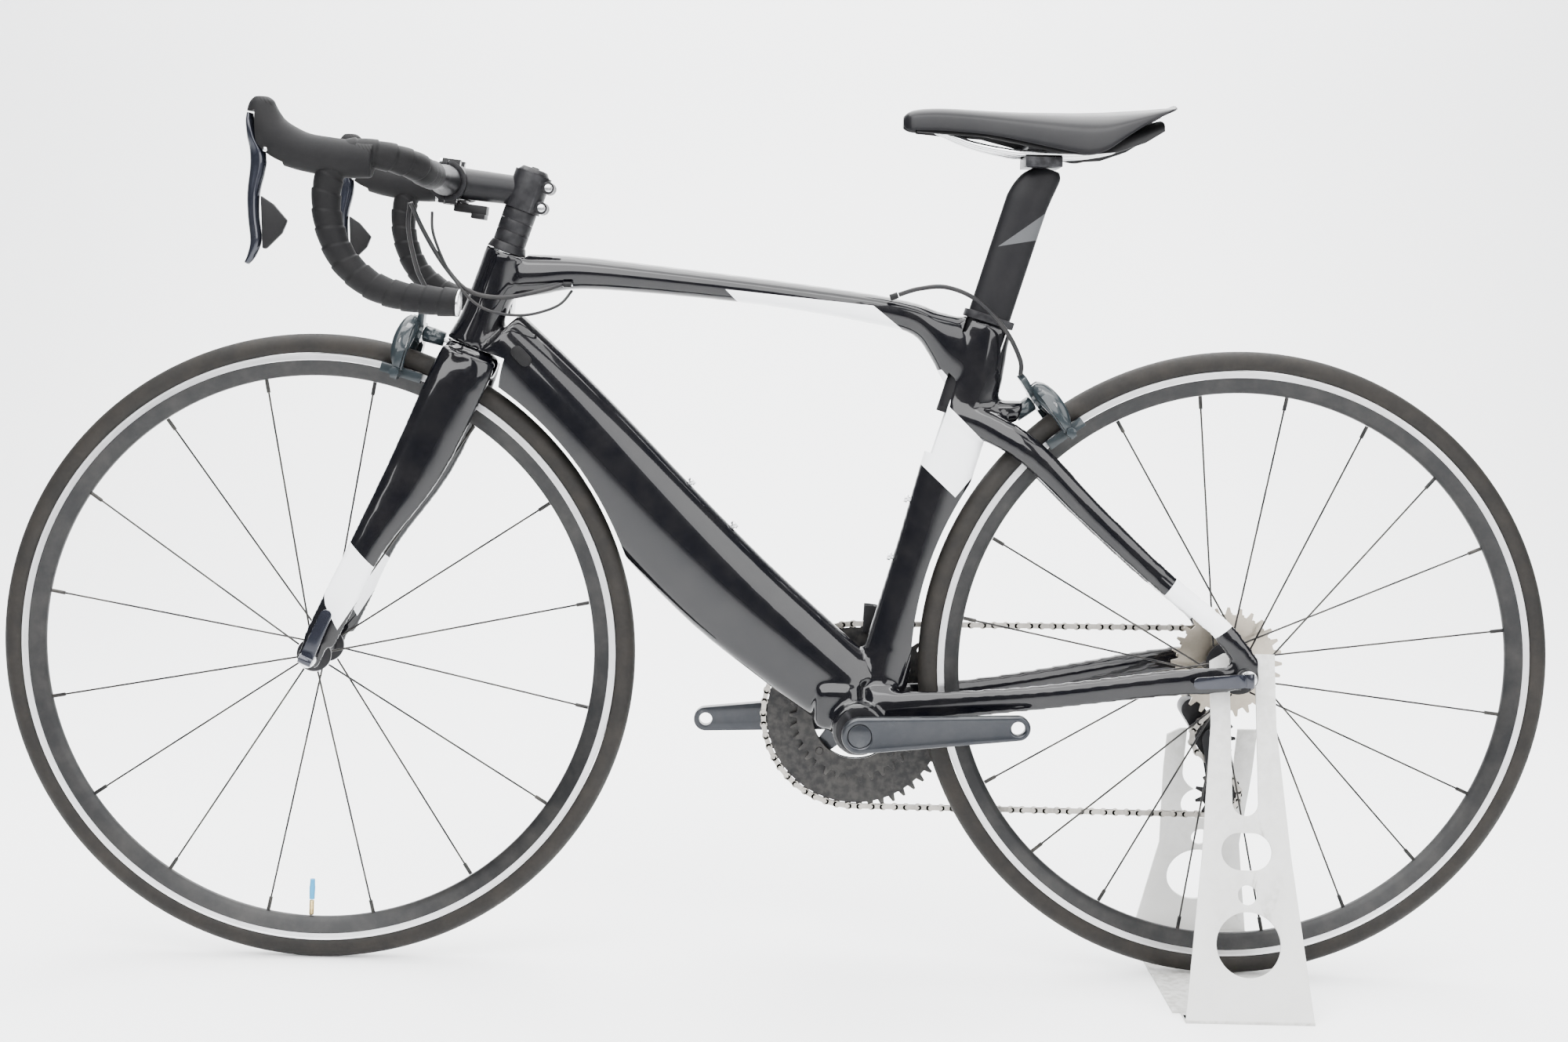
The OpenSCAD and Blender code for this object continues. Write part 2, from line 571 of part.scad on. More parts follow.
// ---------- Fork ----------
// height, middle, side, depth, width
fork_rows = [[crown_s - 3, 2, 20, 58, 28], [crown_s - 36, 0, 27, 62, 22], [0.62 * crown_s, -10, 32, 57, 19],
             [0.36 * crown_s, -29, front_old / 2 - 9, 37, 15], [60, -37, front_old / 2 - 2, 36, 12],
             [16, -rake + 3, front_old / 2 + 3.5, 34, 7]];
module fork() color("#0c0d14") difference() {
    union() {
        for (side = [-1, 1]) {
            tube([for (r = fork_rows) [steer_pt(r[0], r[1], side * r[2]), 90 - head_angle, r[3], r[4]]]);
            translate([front_x, side * (front_old / 2 + 3.5), front_z]) rotate([90, 0, 0])
                linear_extrude(7, center = true) hull() {
                    circle(r = 13, $fn = 32);
                    translate([7, 16]) circle(r = 13, $fn = 32);
                }
        }
        hull() {
            slice([steer_pt(crown_s - 1, 2), 90 - head_angle, 60, 54]);
            slice([steer_pt(crown_s - 20, 1), 90 - head_angle, 60, 70]);
        }
        at_steer() translate([0, 0, crown_s - 2]) cylinder(r = 25, h = head_s - crown_s + 1.2, $fn = 64);
        at_steer() translate([0, 0, crown_s - 2]) cylinder(r = steerer_r, h = stem_top - crown_s, $fn = 64);
    }
    at_steer() translate([0, 0, crown_s + 4]) cylinder(r = steerer_r - 2.6, h = 300, $fn = 48);
    at_front() along_y() translate([0, 0, -tyre_w / 2 - 6]) difference() {
        cylinder(r = tyre_r + 8, h = tyre_w + 12, $fn = 96);
        translate([0, 0, -1]) cylinder(r = 20, h = tyre_w + 14, $fn = 32);
    }
    at_front() along_y() translate([0, 0, -80]) cylinder(r = axle_r + gap, h = 160, $fn = 32);
    translate([front_x - axle_r - gap, -80, front_z - 30]) cube([2 * (axle_r + gap), 160, 30]);
    at_front_brake() translate([20, 0, brake_r]) rotate([0, 90, 0])
        cylinder(r = brake_bolt_r + 0.1, h = 90, $fn = 32);
}
module headset_stack() color("black") at_steer() {
    difference() {
        translate([0, 0, head_top + gap]) cylinder(r1 = 21, r2 = 18, h = cover_h - gap, $fn = 64);
        translate([0, 0, head_top - 1]) cylinder(r = steerer_r + 0.1, h = 20, $fn = 64);
    }
    for (i = [0 : 2]) translate([0, 0, head_top + cover_h + i * spacer_h / 3 + 0.05])
        ring(17.2, steerer_r + 0.1, spacer_h / 3 - 0.1);
    translate([0, 0, stem_top + 0.1]) cylinder(r1 = 17, r2 = 13, h = cap_h, $fn = 64);
    translate([0, 0, stem_top + cap_h + 0.1]) cylinder(r = 4, h = 1.5, $fn = 32);
}
module at_clamp() at_steer() translate([clamp_n, 0, clamp_s]) rotate([0, -stem_angle, 0]) children();
// The four bolts of the faceplate; their heads sit in pockets
module clamp_places() for (y = [-15, 15], z = [-19, 19]) translate([0, y, z]) rotate([0, -90, 0]) children();
module clamp_bolts(r, head_r, head_h) clamp_places() {
    translate([0, 0, -12]) cylinder(r = r, h = 18.6, $fn = 24);
    translate([0, 0, 6.5]) cylinder(r = head_r, h = head_h, $fn = 24);
}
module stem() color("#101114") difference() {
    union() {
        at_steer() translate([0, 0, stem_s]) cylinder(r = 19.5, h = stem_clamp_h, $fn = 64);
        for (z = [9, stem_clamp_h - 9]) at_steer() translate([pinch_n - 1, 0, stem_s + z]) rotate([90, 0, 0])
            cylinder(r = 6.5, h = 26, center = true, $fn = 32);
        at_clamp() rotate([0, 90, 0]) cylinder(r1 = 16.5, r2 = 15, h = stem_len, $fn = 48);
        at_clamp() along_y() translate([0, 0, -clamp_half]) cylinder(r = bar_clamp_r + 5, h = 2 * clamp_half, $fn = 64);
        at_clamp() for (y = [-15, 15]) translate([6, y, 0]) cube([12, 9, 46], center = true);
    }
    at_steer() translate([0, 0, stem_s - 30]) cylinder(r = steerer_r + 0.1, h = 100, $fn = 64);
    at_steer() translate([pinch_n, 0, stem_s + 20]) cube([20, 2, 80], center = true);
    at_clamp() along_y() translate([0, 0, -40]) cylinder(r = bar_clamp_r + 0.1, h = 80, $fn = 64);
    at_clamp() translate([-49.6, 0, 0]) cube([100, 80, 80], center = true);
    at_clamp() clamp_bolts(2.6, 2.6, 1);
    for (z = [9, stem_clamp_h - 9]) at_steer() translate([pinch_n, 0, stem_s + z]) rotate([90, 0, 0])
        cylinder(r = 2.6, h = 40, center = true, $fn = 24);
}
module stem_faceplate() color("#101114") at_clamp() difference() {
    union() {
        along_y() translate([0, 0, -clamp_half]) cylinder(r = bar_clamp_r + 4, h = 2 * clamp_half, $fn = 64);
        for (y = [-15, 15]) translate([-3.4, y, 0]) cube([6, 9, 46], center = true);
    }
    along_y() translate([0, 0, -40]) cylinder(r = bar_clamp_r + 0.1, h = 80, $fn = 64);
    translate([49.6, 0, 0]) cube([100, 80, 80], center = true);
    clamp_bolts(2.6, 4.2, 20);
}
module steering_bolts() color("silver") {
    at_clamp() clamp_bolts(2.5, 4, 3);
    for (z = [9, stem_clamp_h - 9]) at_steer() translate([pinch_n, 0, stem_s + z]) rotate([90, 0, 0]) {
        cylinder(r = 2.5, h = 26, center = true, $fn = 24);
        translate([0, 0, 13.1]) cylinder(r = 4, h = 3, $fn = 24);
    }
    at_front_brake() translate([-12, 0, brake_r]) rotate([0, 90, 0]) cylinder(r = brake_bolt_r, h = 76, $fn = 32);
}

// ---------- Handlebar ----------
// Half of the bar from its middle to the end of the drop, measured from the clamp
bar_points = [[0, 0, 0], [0, 40, 0], [0, 80, 0], [-1, half_bar - 60, 0], [-8, half_bar - 32, 5],
              [-30, half_bar - 10, 11], [-58, half_bar - 1, 13], [-75, half_bar, 3], [-84, half_bar, -22],
              [-82, half_bar, -54], [-69, half_bar, -86], [-46, half_bar, -108], [-20, half_bar, -119],
              [12, half_bar, -124], [40, half_bar, -126]];
half_path = [for (p = smooth(bar_points, 3)) p + bar_c];
function bar_radius(p) = abs(p[1]) < 38 ? bar_clamp_r : bar_r;
module handlebar() color("black") {
    path = concat([for (i = [len(half_path) - 1 : -1 : 1]) flip(half_path[i])], half_path);
    sweep(path, [for (p = path) bar_radius(p)], bar_sides, [0, 0, 1]);
}
// A hollow tube along a path: tape wound on the bar
module sleeve(path, inner, outer, sides) {
    u = carried(path, [0, 0, 1]);
    n = 2 * sides;
    m = len(path);
    points = [for (i = [0 : m - 1], r = [outer, inner]) let (v = cross(tangent(path, i), u[i]))
        for (j = [0 : sides - 1]) path[i] + r * (u[i] * cos(360 * j / sides) - v * sin(360 * j / sides))];
    walls = [for (i = [0 : m - 2], j = [0 : sides - 1]) let (k = (j + 1) % sides, a = i * n, b = a + n)
        each [[a + j, a + k, b + j], [a + k, b + k, b + j],
              [a + sides + j, b + sides + j, a + sides + k], [a + sides + k, b + sides + j, b + sides + k]]];
    ends = [for (j = [0 : sides - 1]) let (k = (j + 1) % sides, z = (m - 1) * n)
        each [[k, j, sides + j], [k, sides + j, sides + k],
              [z + j, z + k, z + sides + j], [z + k, z + sides + k, z + sides + j]]];
    polyhedron(points = points, faces = concat(walls, ends), convexity = 8);
}
tape_path = [for (i = [tape_from : len(half_path) - 1]) half_path[i]];
module bar_tape(side) {
    end = tape_path[len(tape_path) - 1];
    t = tangent(tape_path, len(tape_path) - 1);
    mirrored(-side) {
        sleeve(tape_path, bar_r / cos(180 / bar_sides) + 0.3, bar_r + tape_t, bar_sides);
        rod(end + 0.1 * t, end + 3 * t, bar_r + 1.5);
    }
}
module bar_tape_left() color("#1b1b1c") bar_tape(-1);
module bar_tape_right() color("#1b1b1c") bar_tape(1);

// Hood: place from the bar clamp, lean, height, width
hood_rows = [[[-44, 0, 8], -84, 36, 34], [[-62, 0, 9], -84, 38, 35], [[-82, 0, 11], -76, 40, 36],
             [[-106, 0, 17], -70, 43, 36], [[-126, 0, 27], -64, 44, 36], [[-142, 0, 35], -60, 43, 34],
             [[-152, 0, 41], -58, 38, 31], [[-160, 0, 45], -55, 26, 26], [[-164, 0, 47], -52, 14, 18]];
module hood(side) translate([0, side * half_bar, 0]) difference() {
    tube([for (r = hood_rows) [bar_c + r[0], r[1], r[2], r[3]]]);
    // room for the taped bar and for the lever
    translate([0, -half_bar, 0]) sweep([for (i = [0 : 26]) tape_path[i]], [for (i = [0 : 26]) bar_r + tape_t + 0.4],
                                       bar_sides);
    translate(lever_pivot) rotate([90, 0, 0]) cylinder(r = 14, h = 19, center = true, $fn = 48);
    translate(lever_pivot + [-36, -9.5, -60]) cube([50, 19, 66]);
    translate(lever_pivot) rotate([90, 0, 0]) cylinder(r = 2 + run, h = 60, center = true, $fn = 24);
}
module hood_left() color("#1d1d1f") mirrored(1) hood(1);
module hood_right() color("#1d1d1f") hood(1);

// Brake lever with its pivot barrel, from the pivot down
lever_rows = [[[-4, 0, -4], 200, 18, 14], [[-12, 0, -20], 190, 14, 15], [[-15, 0, -40], 182, 12, 16],
              [[-15, 0, -62], 178, 12, 15], [[-13, 0, -84], 176, 11, 14], [[-17, 0, -98], 200, 8, 12],
              [[-23, 0, -108], 205, 5, 8]];
module lever(side) translate([0, side * half_bar, 0]) {
    translate(lever_pivot) rotate([90, 0, 0]) cylinder(r = 9, h = 17, center = true, $fn = 32);
    translate(lever_pivot) rotate([90, 0, 0]) cylinder(r = 2, h = 30, center = true, $fn = 24);
    for (i = [0 : len(lever_rows) - 2]) hull() for (r = [lever_rows[i], lever_rows[i + 1]])
        slice([lever_pivot + r[0], r[1], r[2], r[3]]);
}
module lever_left() color("#23262e") lever(-1);
module lever_right() color("#23262e") lever(1);
// Two shift paddles behind the lever blade
module paddle(z0, z1, side) translate([0, side * half_bar, 0]) translate(lever_pivot) rotate([90, 0, 0])
    linear_extrude(7, center = true) polygon([[-8.2, z0], [4, z0 - 8], [17, (z0 + z1) / 2 + 2], [12, (z0 + z1) / 2 - 10],
                                              [-3, z1], [-6.6, z1]]);
module shift_paddles(side) paddle(-42, -92, side);
module shift_paddles_left() color("#16171a") shift_paddles(-1);
module shift_paddles_right() color("#16171a") shift_paddles(1);

module junction_box() color("black") at_clamp() translate([26, 0, -25]) {
    cube([34, 20, 9], center = true);
    translate([-8.5, 0, 6.4]) cube([7, 22, 3], center = true);
    translate([9, 0, -7]) cube([14, 26, 5], center = true);
}

// ---------- Cables ----------
// Where a cable meets the tip of a caliper arm; along is the arm's place on the pivot bolt
function brake_tip(x, z, lean, along) = let (r = brake_r + 33.3)
    [x + r * sin(lean) + along * cos(lean), -27, z + r * cos(lean) - along * sin(lean)];
rear_tip = brake_tip(rear_x, rear_z, rear_brake_lean, -3.5);
front_tip = brake_tip(front_x, front_z, front_brake_lean, 3.65);
rear_cable_points = [cable_out + [9.2, -1.2, 3.4], [140, -24, 737], [168, -28, 736], [200, -30, 722], [230, -29, 692],
                     rear_tip + [-1, -0.5, 16], rear_tip];
bar_cable_points = [cable_in - [10.2, 0.3, 0], [-252, -27, 722], [-290, -42, 714], [-325, -48, 720], [-350, -46, 745],
                    [-372, -44, 780], [-384, -52, 808]];
wire_points = [[-222, -16.2, 722.5], [-236, -34, 706], [-272, -46, 696], [-312, -52, 704], [-342, -50, 735],
               [-362, -40, 775], [-366, -28, 800]];
front_cable_points = [[-386, -44, 808], [-388, -40, 780], [-381, -31, 742], front_tip + [0.5, 0, 14], front_tip];
module rear_brake_cable() color("black") cable(rear_cable_points, cable_r);
module bar_cables() color("black") {
    cable(bar_cable_points, cable_r);
    cable(wire_points, 1.6);
}
module front_brake_cable() color("black") cable(front_cable_points, cable_r);

// ---------- Brakes ----------
// One arm of a caliper and its shoe; x0 to x1 is its place along the pivot bolt
module brake_arm(side, x0, x1, long) color("#2b3137") mirrored(side < 0 ? 1 : 0) {
    face = rim_w / 2 + pad_gap;
    translate([x0, 0, 0]) rotate([90, 0, 90]) linear_extrude(x1 - x0) difference() {
        union() {
            translate([0, brake_r]) circle(r = 11, $fn = 40);
            polygon([[-8, brake_r + 8], [14, brake_r + 10], [30, brake_r + 2], [38, brake_r - 16], [39, pad_r + 6],
                     [34, pad_r - 7], [face + 8, pad_r - 7], [face + 8, pad_r + 6], [26, pad_r + 12],
                     [26, brake_r - 14], [8, brake_r - 10], [0, brake_r - 8]]);
            if (long) polygon([[-8, brake_r + 4], [4, brake_r + 6], [-22, brake_r + 34], [-32, brake_r + 28]]);
        }
        translate([0, brake_r]) circle(r = brake_bolt_r + run, $fn = 40);
    }
    translate([-22, face, pad_r - 5]) cube([44, 7.8, 10]);
    translate([(x0 + x1) / 2, 0, pad_r]) rotate([-90, 0, 0]) translate([0, 0, 34]) cylinder(r = 5, h = 8, $fn = 32);
}
module front_brake_arm_left() at_front_brake() brake_arm(-1, -7, 0, false);
module front_brake_arm_right() at_front_brake() brake_arm(1, 0.3, 7, true);
module rear_brake_arm_left() at_rear_brake() brake_arm(-1, 0.3, 7, false);
module rear_brake_arm_right() at_rear_brake() brake_arm(1, -7, 0, true);

// ---------- Seat ----------
module seatpost() color("#17181b") union() {
    at_seat() translate([seat_post_n, 0, post_bottom]) linear_extrude(post_top - post_bottom - 12) post_section(0);
    at_seat() translate([seat_post_n - 3, 0, post_top - 16]) rotate([90, 0, 0])
        cylinder(r = 17, h = post_w, center = true, $fn = 48);
}
module saddle_clamp() color("black") translate([head_pt[0] + 2, 0, rail_z]) {
    translate([0, 0, -rail_r - 5.2]) cube([38, 54, 10], center = true);
    translate([0, 0, rail_r + 3.2]) cube([34, 54, 6], center = true);
    for (x = [-12, 12]) translate([x, 0, -rail_r - 9]) cylinder(r = 3, h = rail_r * 2 + 18, $fn = 24);
}
function rail_path(side) = [for (p = smooth([[-110, 6, 24], [-72, 10, 9], [-30, 21, 0.5], [-12, 22, 0], [14, 22, 0],
    [42, 22, 0.5], [80, 32, 8], [104, 37, 22]], 3)) [saddle_x + p[0], side * p[1], rail_z + p[2]]];
module saddle_rails() color("silver") for (side = [-1, 1]) sweep(rail_path(side), [for (p = rail_path(side)) rail_r], 10);

// share of the length, share of the half width, top, side edge
saddle_rows = [[0, 0.1, 33, 27], [0.015, 0.2, 39, 25], [0.05, 0.26, 43, 22], [0.15, 0.28, 43, 20],
               [0.3, 0.34, 40, 18], [0.42, 0.47, 36.5, 11], [0.54, 0.66, 34, 3], [0.66, 0.85, 34, -1],
               [0.78, 0.97, 37, 2], [0.88, 1, 42, 12], [0.95, 0.97, 47, 24], [0.985, 0.86, 49, 34], [1, 0.7, 49, 42]];
// A ring of the saddle: an arched band between two depths under the top surface
function saddle_ring(r, d0, d1) = let (w = r[1] * saddle_w / 2, x = saddle_nose + r[0] * saddle_len,
    arch = [for (k = [0 : saddle_steps]) -90 + 180 * k / saddle_steps]) concat(
    [for (a = arch) [x, (w - d0 * 0.4) * sin(a), rail_z + r[3] + (r[2] - d0 - r[3]) * pow(cos(a), 0.7)]],
    [for (k = [saddle_steps : -1 : 0]) let (a = arch[k])
        [x, (w - d1 * 0.4) * sin(a), rail_z + r[3] + (r[2] - d1 - r[3]) * pow(cos(a), 0.7) - (d1 - d0) * 0.15]]);
module saddle_cover() color("#1a1b1e") skin([for (r = saddle_rows) saddle_ring(r, 0, min(9, (r[2] - r[3]) * 0.55))]);
// The shell stays a steady step under the cover
module saddle_shell() color("black") skin([for (i = [2 : len(saddle_rows) - 3]) let (r = saddle_rows[i],
    d = min(9, (r[2] - r[3]) * 0.55), sink = d * 0.15 + 0.6)
    saddle_ring([r[0], r[1] * 0.97, r[2], r[3] - sink], d + sink, d + sink + 3)]);

// ---------- Drive ----------
function teeth(n) = let (p = pitch_r(n)) [for (i = [0 : n - 1], e = [[-0.28, -4], [-0.1, 3.6], [0.1, 3.6], [0.28, -4]])
    let (a = 360 * (i + e[0]) / n) (p + e[1]) * [cos(a), sin(a)]];
module flat_y(y) translate([0, y, 0]) rotate([90, 0, 0]) children();
module bolt_places() for (a = [45 : 90 : 315]) rotate([0, 0, a]) translate([bolt_circle, 0]) children();
module chainring(n, y) at_bb() flat_y(y) linear_extrude(tooth_w, center = true) difference() {
    polygon(teeth(n));
    circle(r = 47, $fn = 64);
    bolt_places() circle(r = 4.1, $fn = 32);
}
module chainring_outer() color("black") chainring(big_ring, chain_y);
module chainring_inner() color("black") {
    chainring(small_ring, chain_y - ring_step);
    at_bb() flat_y(0) bolt_places() translate([0, 0, -chain_y - 8]) cylinder(r = 4, h = 17, $fn = 32);
}
module crank_arm_flat() difference() {
    hull() {
        circle(r = 19, $fn = 48);
        translate([crank_len, 0]) circle(r = 13, $fn = 40);
    }
    translate([crank_len, 0]) circle(r = pedal_r, $fn = 40);
}
module crank_left() color("#2c3038") at_bb() rotate([0, -crank_angle, 0]) flat_y(-crank_span / 2)
    translate([0, 0, -arm_t]) linear_extrude(arm_t) difference() {
        crank_arm_flat();
        circle(r = spindle_r + 0.05, $fn = 48);
    }
module crank_right() color("#2c3038") at_bb() rotate([0, 180 - crank_angle, 0]) {
    flat_y(crank_span / 2) linear_extrude(arm_t) crank_arm_flat();
    along_y() translate([0, 0, -crank_span / 2 + 1]) cylinder(r = spindle_r, h = crank_span - 6, $fn = 48);
    flat_y(chain_y + 7) linear_extrude(5) difference() {
        for (a = [45 : 90 : 315]) rotate([0, 0, a - crank_angle]) hull() {
            circle(r = 16, $fn = 40);
            translate([bolt_circle, 0]) circle(r = 8, $fn = 32);
        }
        rotate([0, 0, -crank_angle]) bolt_places() circle(r = 4.1, $fn = 32);
    }
    along_y() translate([0, 0, shell_w / 2 + 2]) cylinder(r = 17, h = crank_span / 2 - shell_w / 2 - 6, $fn = 48);
}
function cog_index() = [for (i = [0 : len(cogs) - 1]) if (cogs[i] >= sprocket) i][0];
module cassette() color("#8d8577") at_rear() for (i = [0 : len(cogs) - 1])
    let (y = chain_y - (i - cog_index()) * cog_step) {
        flat_y(y) linear_extrude(tooth_w, center = true) difference() {
            polygon(teeth(cogs[i]));
            circle(r = axle_r + run, $fn = 40);
        }
        if (i < len(cogs) - 1) translate([0, y, 0]) along_y() translate([0, 0, tooth_w / 2 - cog_step])
            ring(16, axle_r + run, cog_step - tooth_w);
    }

// Chain: circles that it runs round, each with its turn (1 against the clock seen from the left)
chain_wheels = [[[rear_x, rear_z], pitch_r(sprocket), 1], [[bb_x, bb_z], pitch_r(big_ring), 1],
                [tension_pt, pitch_r(pulley_teeth), 1], [guide_pt, pitch_r(pulley_teeth), -1]];
function run_angle(a, b) = let (d = b[0] - a[0])
    atan2(d[1], d[0]) - asin((b[2] * b[1] - a[2] * a[1]) / norm(d));
function wrap(from, to, turn) = turn > 0 ? (to < from ? wrap(from, to + 360, turn) : to >= from + 360 ? wrap(from, to - 360, turn) : to)
    : (to > from ? wrap(from, to - 360, turn) : to <= from - 360 ? wrap(from, to + 360, turn) : to);
function chain_edge(out) = [for (i = [0 : 3]) let (w = chain_wheels[i], turn = w[2],
    a = run_angle(chain_wheels[(i + 3) % 4], w) - 90 * turn,
    b = wrap(a, run_angle(w, chain_wheels[(i + 1) % 4]) - 90 * turn, turn),
    r = w[1] + out * turn, n = ceil(abs(b - a) / 9))
    for (k = [0 : n]) w[0] + r * [cos(a + (b - a) * k / n), sin(a + (b - a) * k / n)]];
// Rollers of one straight run, from one wheel to the next
module rollers(a, b, k) {
    angle = run_angle(a, b);
    side = [sin(angle), -cos(angle)];
    start = a[0] + side * a[1] * a[2];
    end = b[0] + side * b[1] * b[2];
    n = floor((norm(end - start) - 2 * k) / link);
    for (i = [0 : n]) let (p = start + (end - start) / norm(end - start) * (k + i * link))
        translate([p[0], chain_y, p[1]]) rotate([90, 0, 0]) cylinder(r = 3.6, h = 4.4, center = true, $fn = 24);
}
module chain() color("silver") {
    for (y = [-2.05, 2.05]) flat_y(chain_y + y) linear_extrude(1.1, center = true) difference() {
        polygon(chain_edge(4));
        polygon(chain_edge(-4));
    }
    rollers(chain_wheels[0], chain_wheels[1], 40);
    rollers(chain_wheels[1], chain_wheels[2], 40);
}

// ---------- Derailleurs ----------
module rd_body() color("#131417") {
    translate([rear_x + hanger_x, 0, rear_z + hanger_z]) along_y() {
        translate([0, 0, stay_out - 4]) cylinder(r = 4.8, h = 9, $fn = 32);
        translate([0, 0, stay_out + 3.3]) cylinder(r = 9, h = 13, $fn = 40);
    }
    flat_y(stay_out + 15) linear_extrude(11) hull() {
        translate([rear_x + hanger_x, rear_z + hanger_z]) circle(r = 8, $fn = 32);
        translate([rear_x - 26, rear_z - 56]) circle(r = 11, $fn = 32);
    }
    flat_y(stay_out + 12) linear_extrude(stay_out + 12 - knuckle_y) difference() {
        hull() {
            translate([rear_x - 28, rear_z - 58]) circle(r = 12, $fn = 32);
            translate(guide_pt) circle(r = 13, $fn = 32);
        }
        translate(guide_pt) circle(r = 6 + run, $fn = 40);
    }
}
module cage_plate(y) flat_y(y) linear_extrude(2, center = true) hull() {
    translate(guide_pt) circle(r = 12, $fn = 32);
    translate(tension_pt) circle(r = 10, $fn = 32);
}
module rd_cage() color("#1c1d21") {
    cage_plate(chain_y + cage_gap + 1);
    cage_plate(chain_y - cage_gap - 1);
    for (p = [guide_pt, tension_pt]) translate([p[0], chain_y, p[1]]) rotate([90, 0, 0])
        cylinder(r = 2.5, h = 2 * cage_gap + 2, center = true, $fn = 32);
    translate([guide_pt[0], 0, guide_pt[1]]) along_y() translate([0, 0, chain_y + cage_gap + 1])
        cylinder(r = 6, h = 16, $fn = 40);
}
module pulley(p) color("#222326") translate([p[0], 0, p[1]]) flat_y(chain_y) linear_extrude(tooth_w, center = true)
    difference() {
        polygon(teeth(pulley_teeth));
        circle(r = 2.5 + run, $fn = 32);
    }
module guide_pulley() pulley(guide_pt);
module tension_pulley() pulley(tension_pt);
module front_derailleur() color("#1c1d21") {
    for (y = [chain_y - 7, chain_y + 7]) at_bb() flat_y(y) linear_extrude(1.4, center = true) intersection() {
        difference() {
            circle(r = fd_r + 14, $fn = 96);
            circle(r = fd_r - 16, $fn = 96);
        }
        polygon([[0, 0], [8, 160], [58, 160]]);
    }
    at_bb() translate([26, chain_y, fd_r + 8]) rotate([0, 14, 0]) cube([20, 14, 3], center = true);
    at_bb() translate([24, 18, fd_r + 2]) cube([18, chain_y - 7 - 18, 16]);
}

stand();
frame();
derailleur_hanger();
seat_clamp();
headset_bearings();
bb_cups();
frame_bolts();
cable_ports();
front_derailleur();
chain();
rd_body();
rear_brake_cable();
bar_cables();
rear_axle();
seatpost();
saddle_clamp();
saddle_rails();
saddle_shell();
saddle_cover();
fork();
headset_stack();
stem();
stem_faceplate();
steering_bolts();
handlebar();
bar_tape_left();
bar_tape_right();
hood_left();
hood_right();
junction_box();
front_brake_cable();
front_axle();
lever_left();
lever_right();
shift_paddles_left();
shift_paddles_right();
front_qr_lever();
rear_qr_lever();
front_tyre();
front_rim();
front_spokes();
front_hub();
front_valve();
rear_tyre();
rear_rim();
rear_spokes();
rear_hub();
rear_valve();
cassette();
crank_left();
crank_right();
chainring_outer();
chainring_inner();
rd_cage();
guide_pulley();
tension_pulley();
front_brake_arm_left();
front_brake_arm_right();
rear_brake_arm_left();
rear_brake_arm_right();
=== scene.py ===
import math

import bmesh
import bpy
from mathutils import Matrix, Vector


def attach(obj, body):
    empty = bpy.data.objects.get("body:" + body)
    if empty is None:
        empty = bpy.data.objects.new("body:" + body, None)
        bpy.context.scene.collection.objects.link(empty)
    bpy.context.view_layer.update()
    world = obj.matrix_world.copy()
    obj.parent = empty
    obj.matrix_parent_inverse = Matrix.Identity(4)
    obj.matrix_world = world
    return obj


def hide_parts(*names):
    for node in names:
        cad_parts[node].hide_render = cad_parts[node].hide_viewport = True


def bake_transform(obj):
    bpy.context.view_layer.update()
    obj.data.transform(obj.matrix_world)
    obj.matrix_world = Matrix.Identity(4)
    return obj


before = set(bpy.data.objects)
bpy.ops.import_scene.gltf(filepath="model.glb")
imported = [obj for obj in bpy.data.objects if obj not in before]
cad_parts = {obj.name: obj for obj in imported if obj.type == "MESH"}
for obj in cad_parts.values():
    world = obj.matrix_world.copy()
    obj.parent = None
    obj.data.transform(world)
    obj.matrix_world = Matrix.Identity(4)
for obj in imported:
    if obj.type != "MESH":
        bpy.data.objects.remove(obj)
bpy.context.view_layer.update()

# ---------------------------------------------------------------- sizes, in millimetres
TYRE_R = 336.0
FRONT = Vector((-487.0, 0.0, 336.0))
REAR = Vector((487.0, 0.0, 339.3))
BB = Vector((88.15, 0.0, 269.0))
HEAD_ANGLE = math.radians(71)
SEAT_ANGLE = math.radians(73.5)
STEER_FOOT = Vector((-444.45, 0.0, 321.35))
STEER_AXIS = Vector((math.cos(HEAD_ANGLE), 0, math.sin(HEAD_ANGLE)))
SEAT_AXIS = Vector((math.cos(SEAT_ANGLE), 0, math.sin(SEAT_ANGLE)))
BAR = Vector((-352.8, 0.0, 832.94))
LEVER_PIVOT = BAR + Vector((-138, 0, 13))
HALF_BAR = 200.0
TYRE_CENTRE_R, TYRE_SECTION_R = 323.5, 12.5
VALVE_ANGLE = math.radians(-178)
BAR_R = 11.9
CHAIN_Y = 43.0
FRONT_LEAN, REAR_LEAN = 16.4, -37.5
MM = 0.001


def steer_pt(s, n, y=0.0):
    return STEER_FOOT + STEER_AXIS * s + Vector((STEER_AXIS.z, 0, -STEER_AXIS.x)) * n + Vector((0, y, 0))


def seat_pt(s, n, y=0.0):
    return BB + SEAT_AXIS * s + Vector((SEAT_AXIS.z, 0, -SEAT_AXIS.x)) * n + Vector((0, y, 0))


def rear_pt(x, y, z):
    return REAR + Vector((x, y, z))


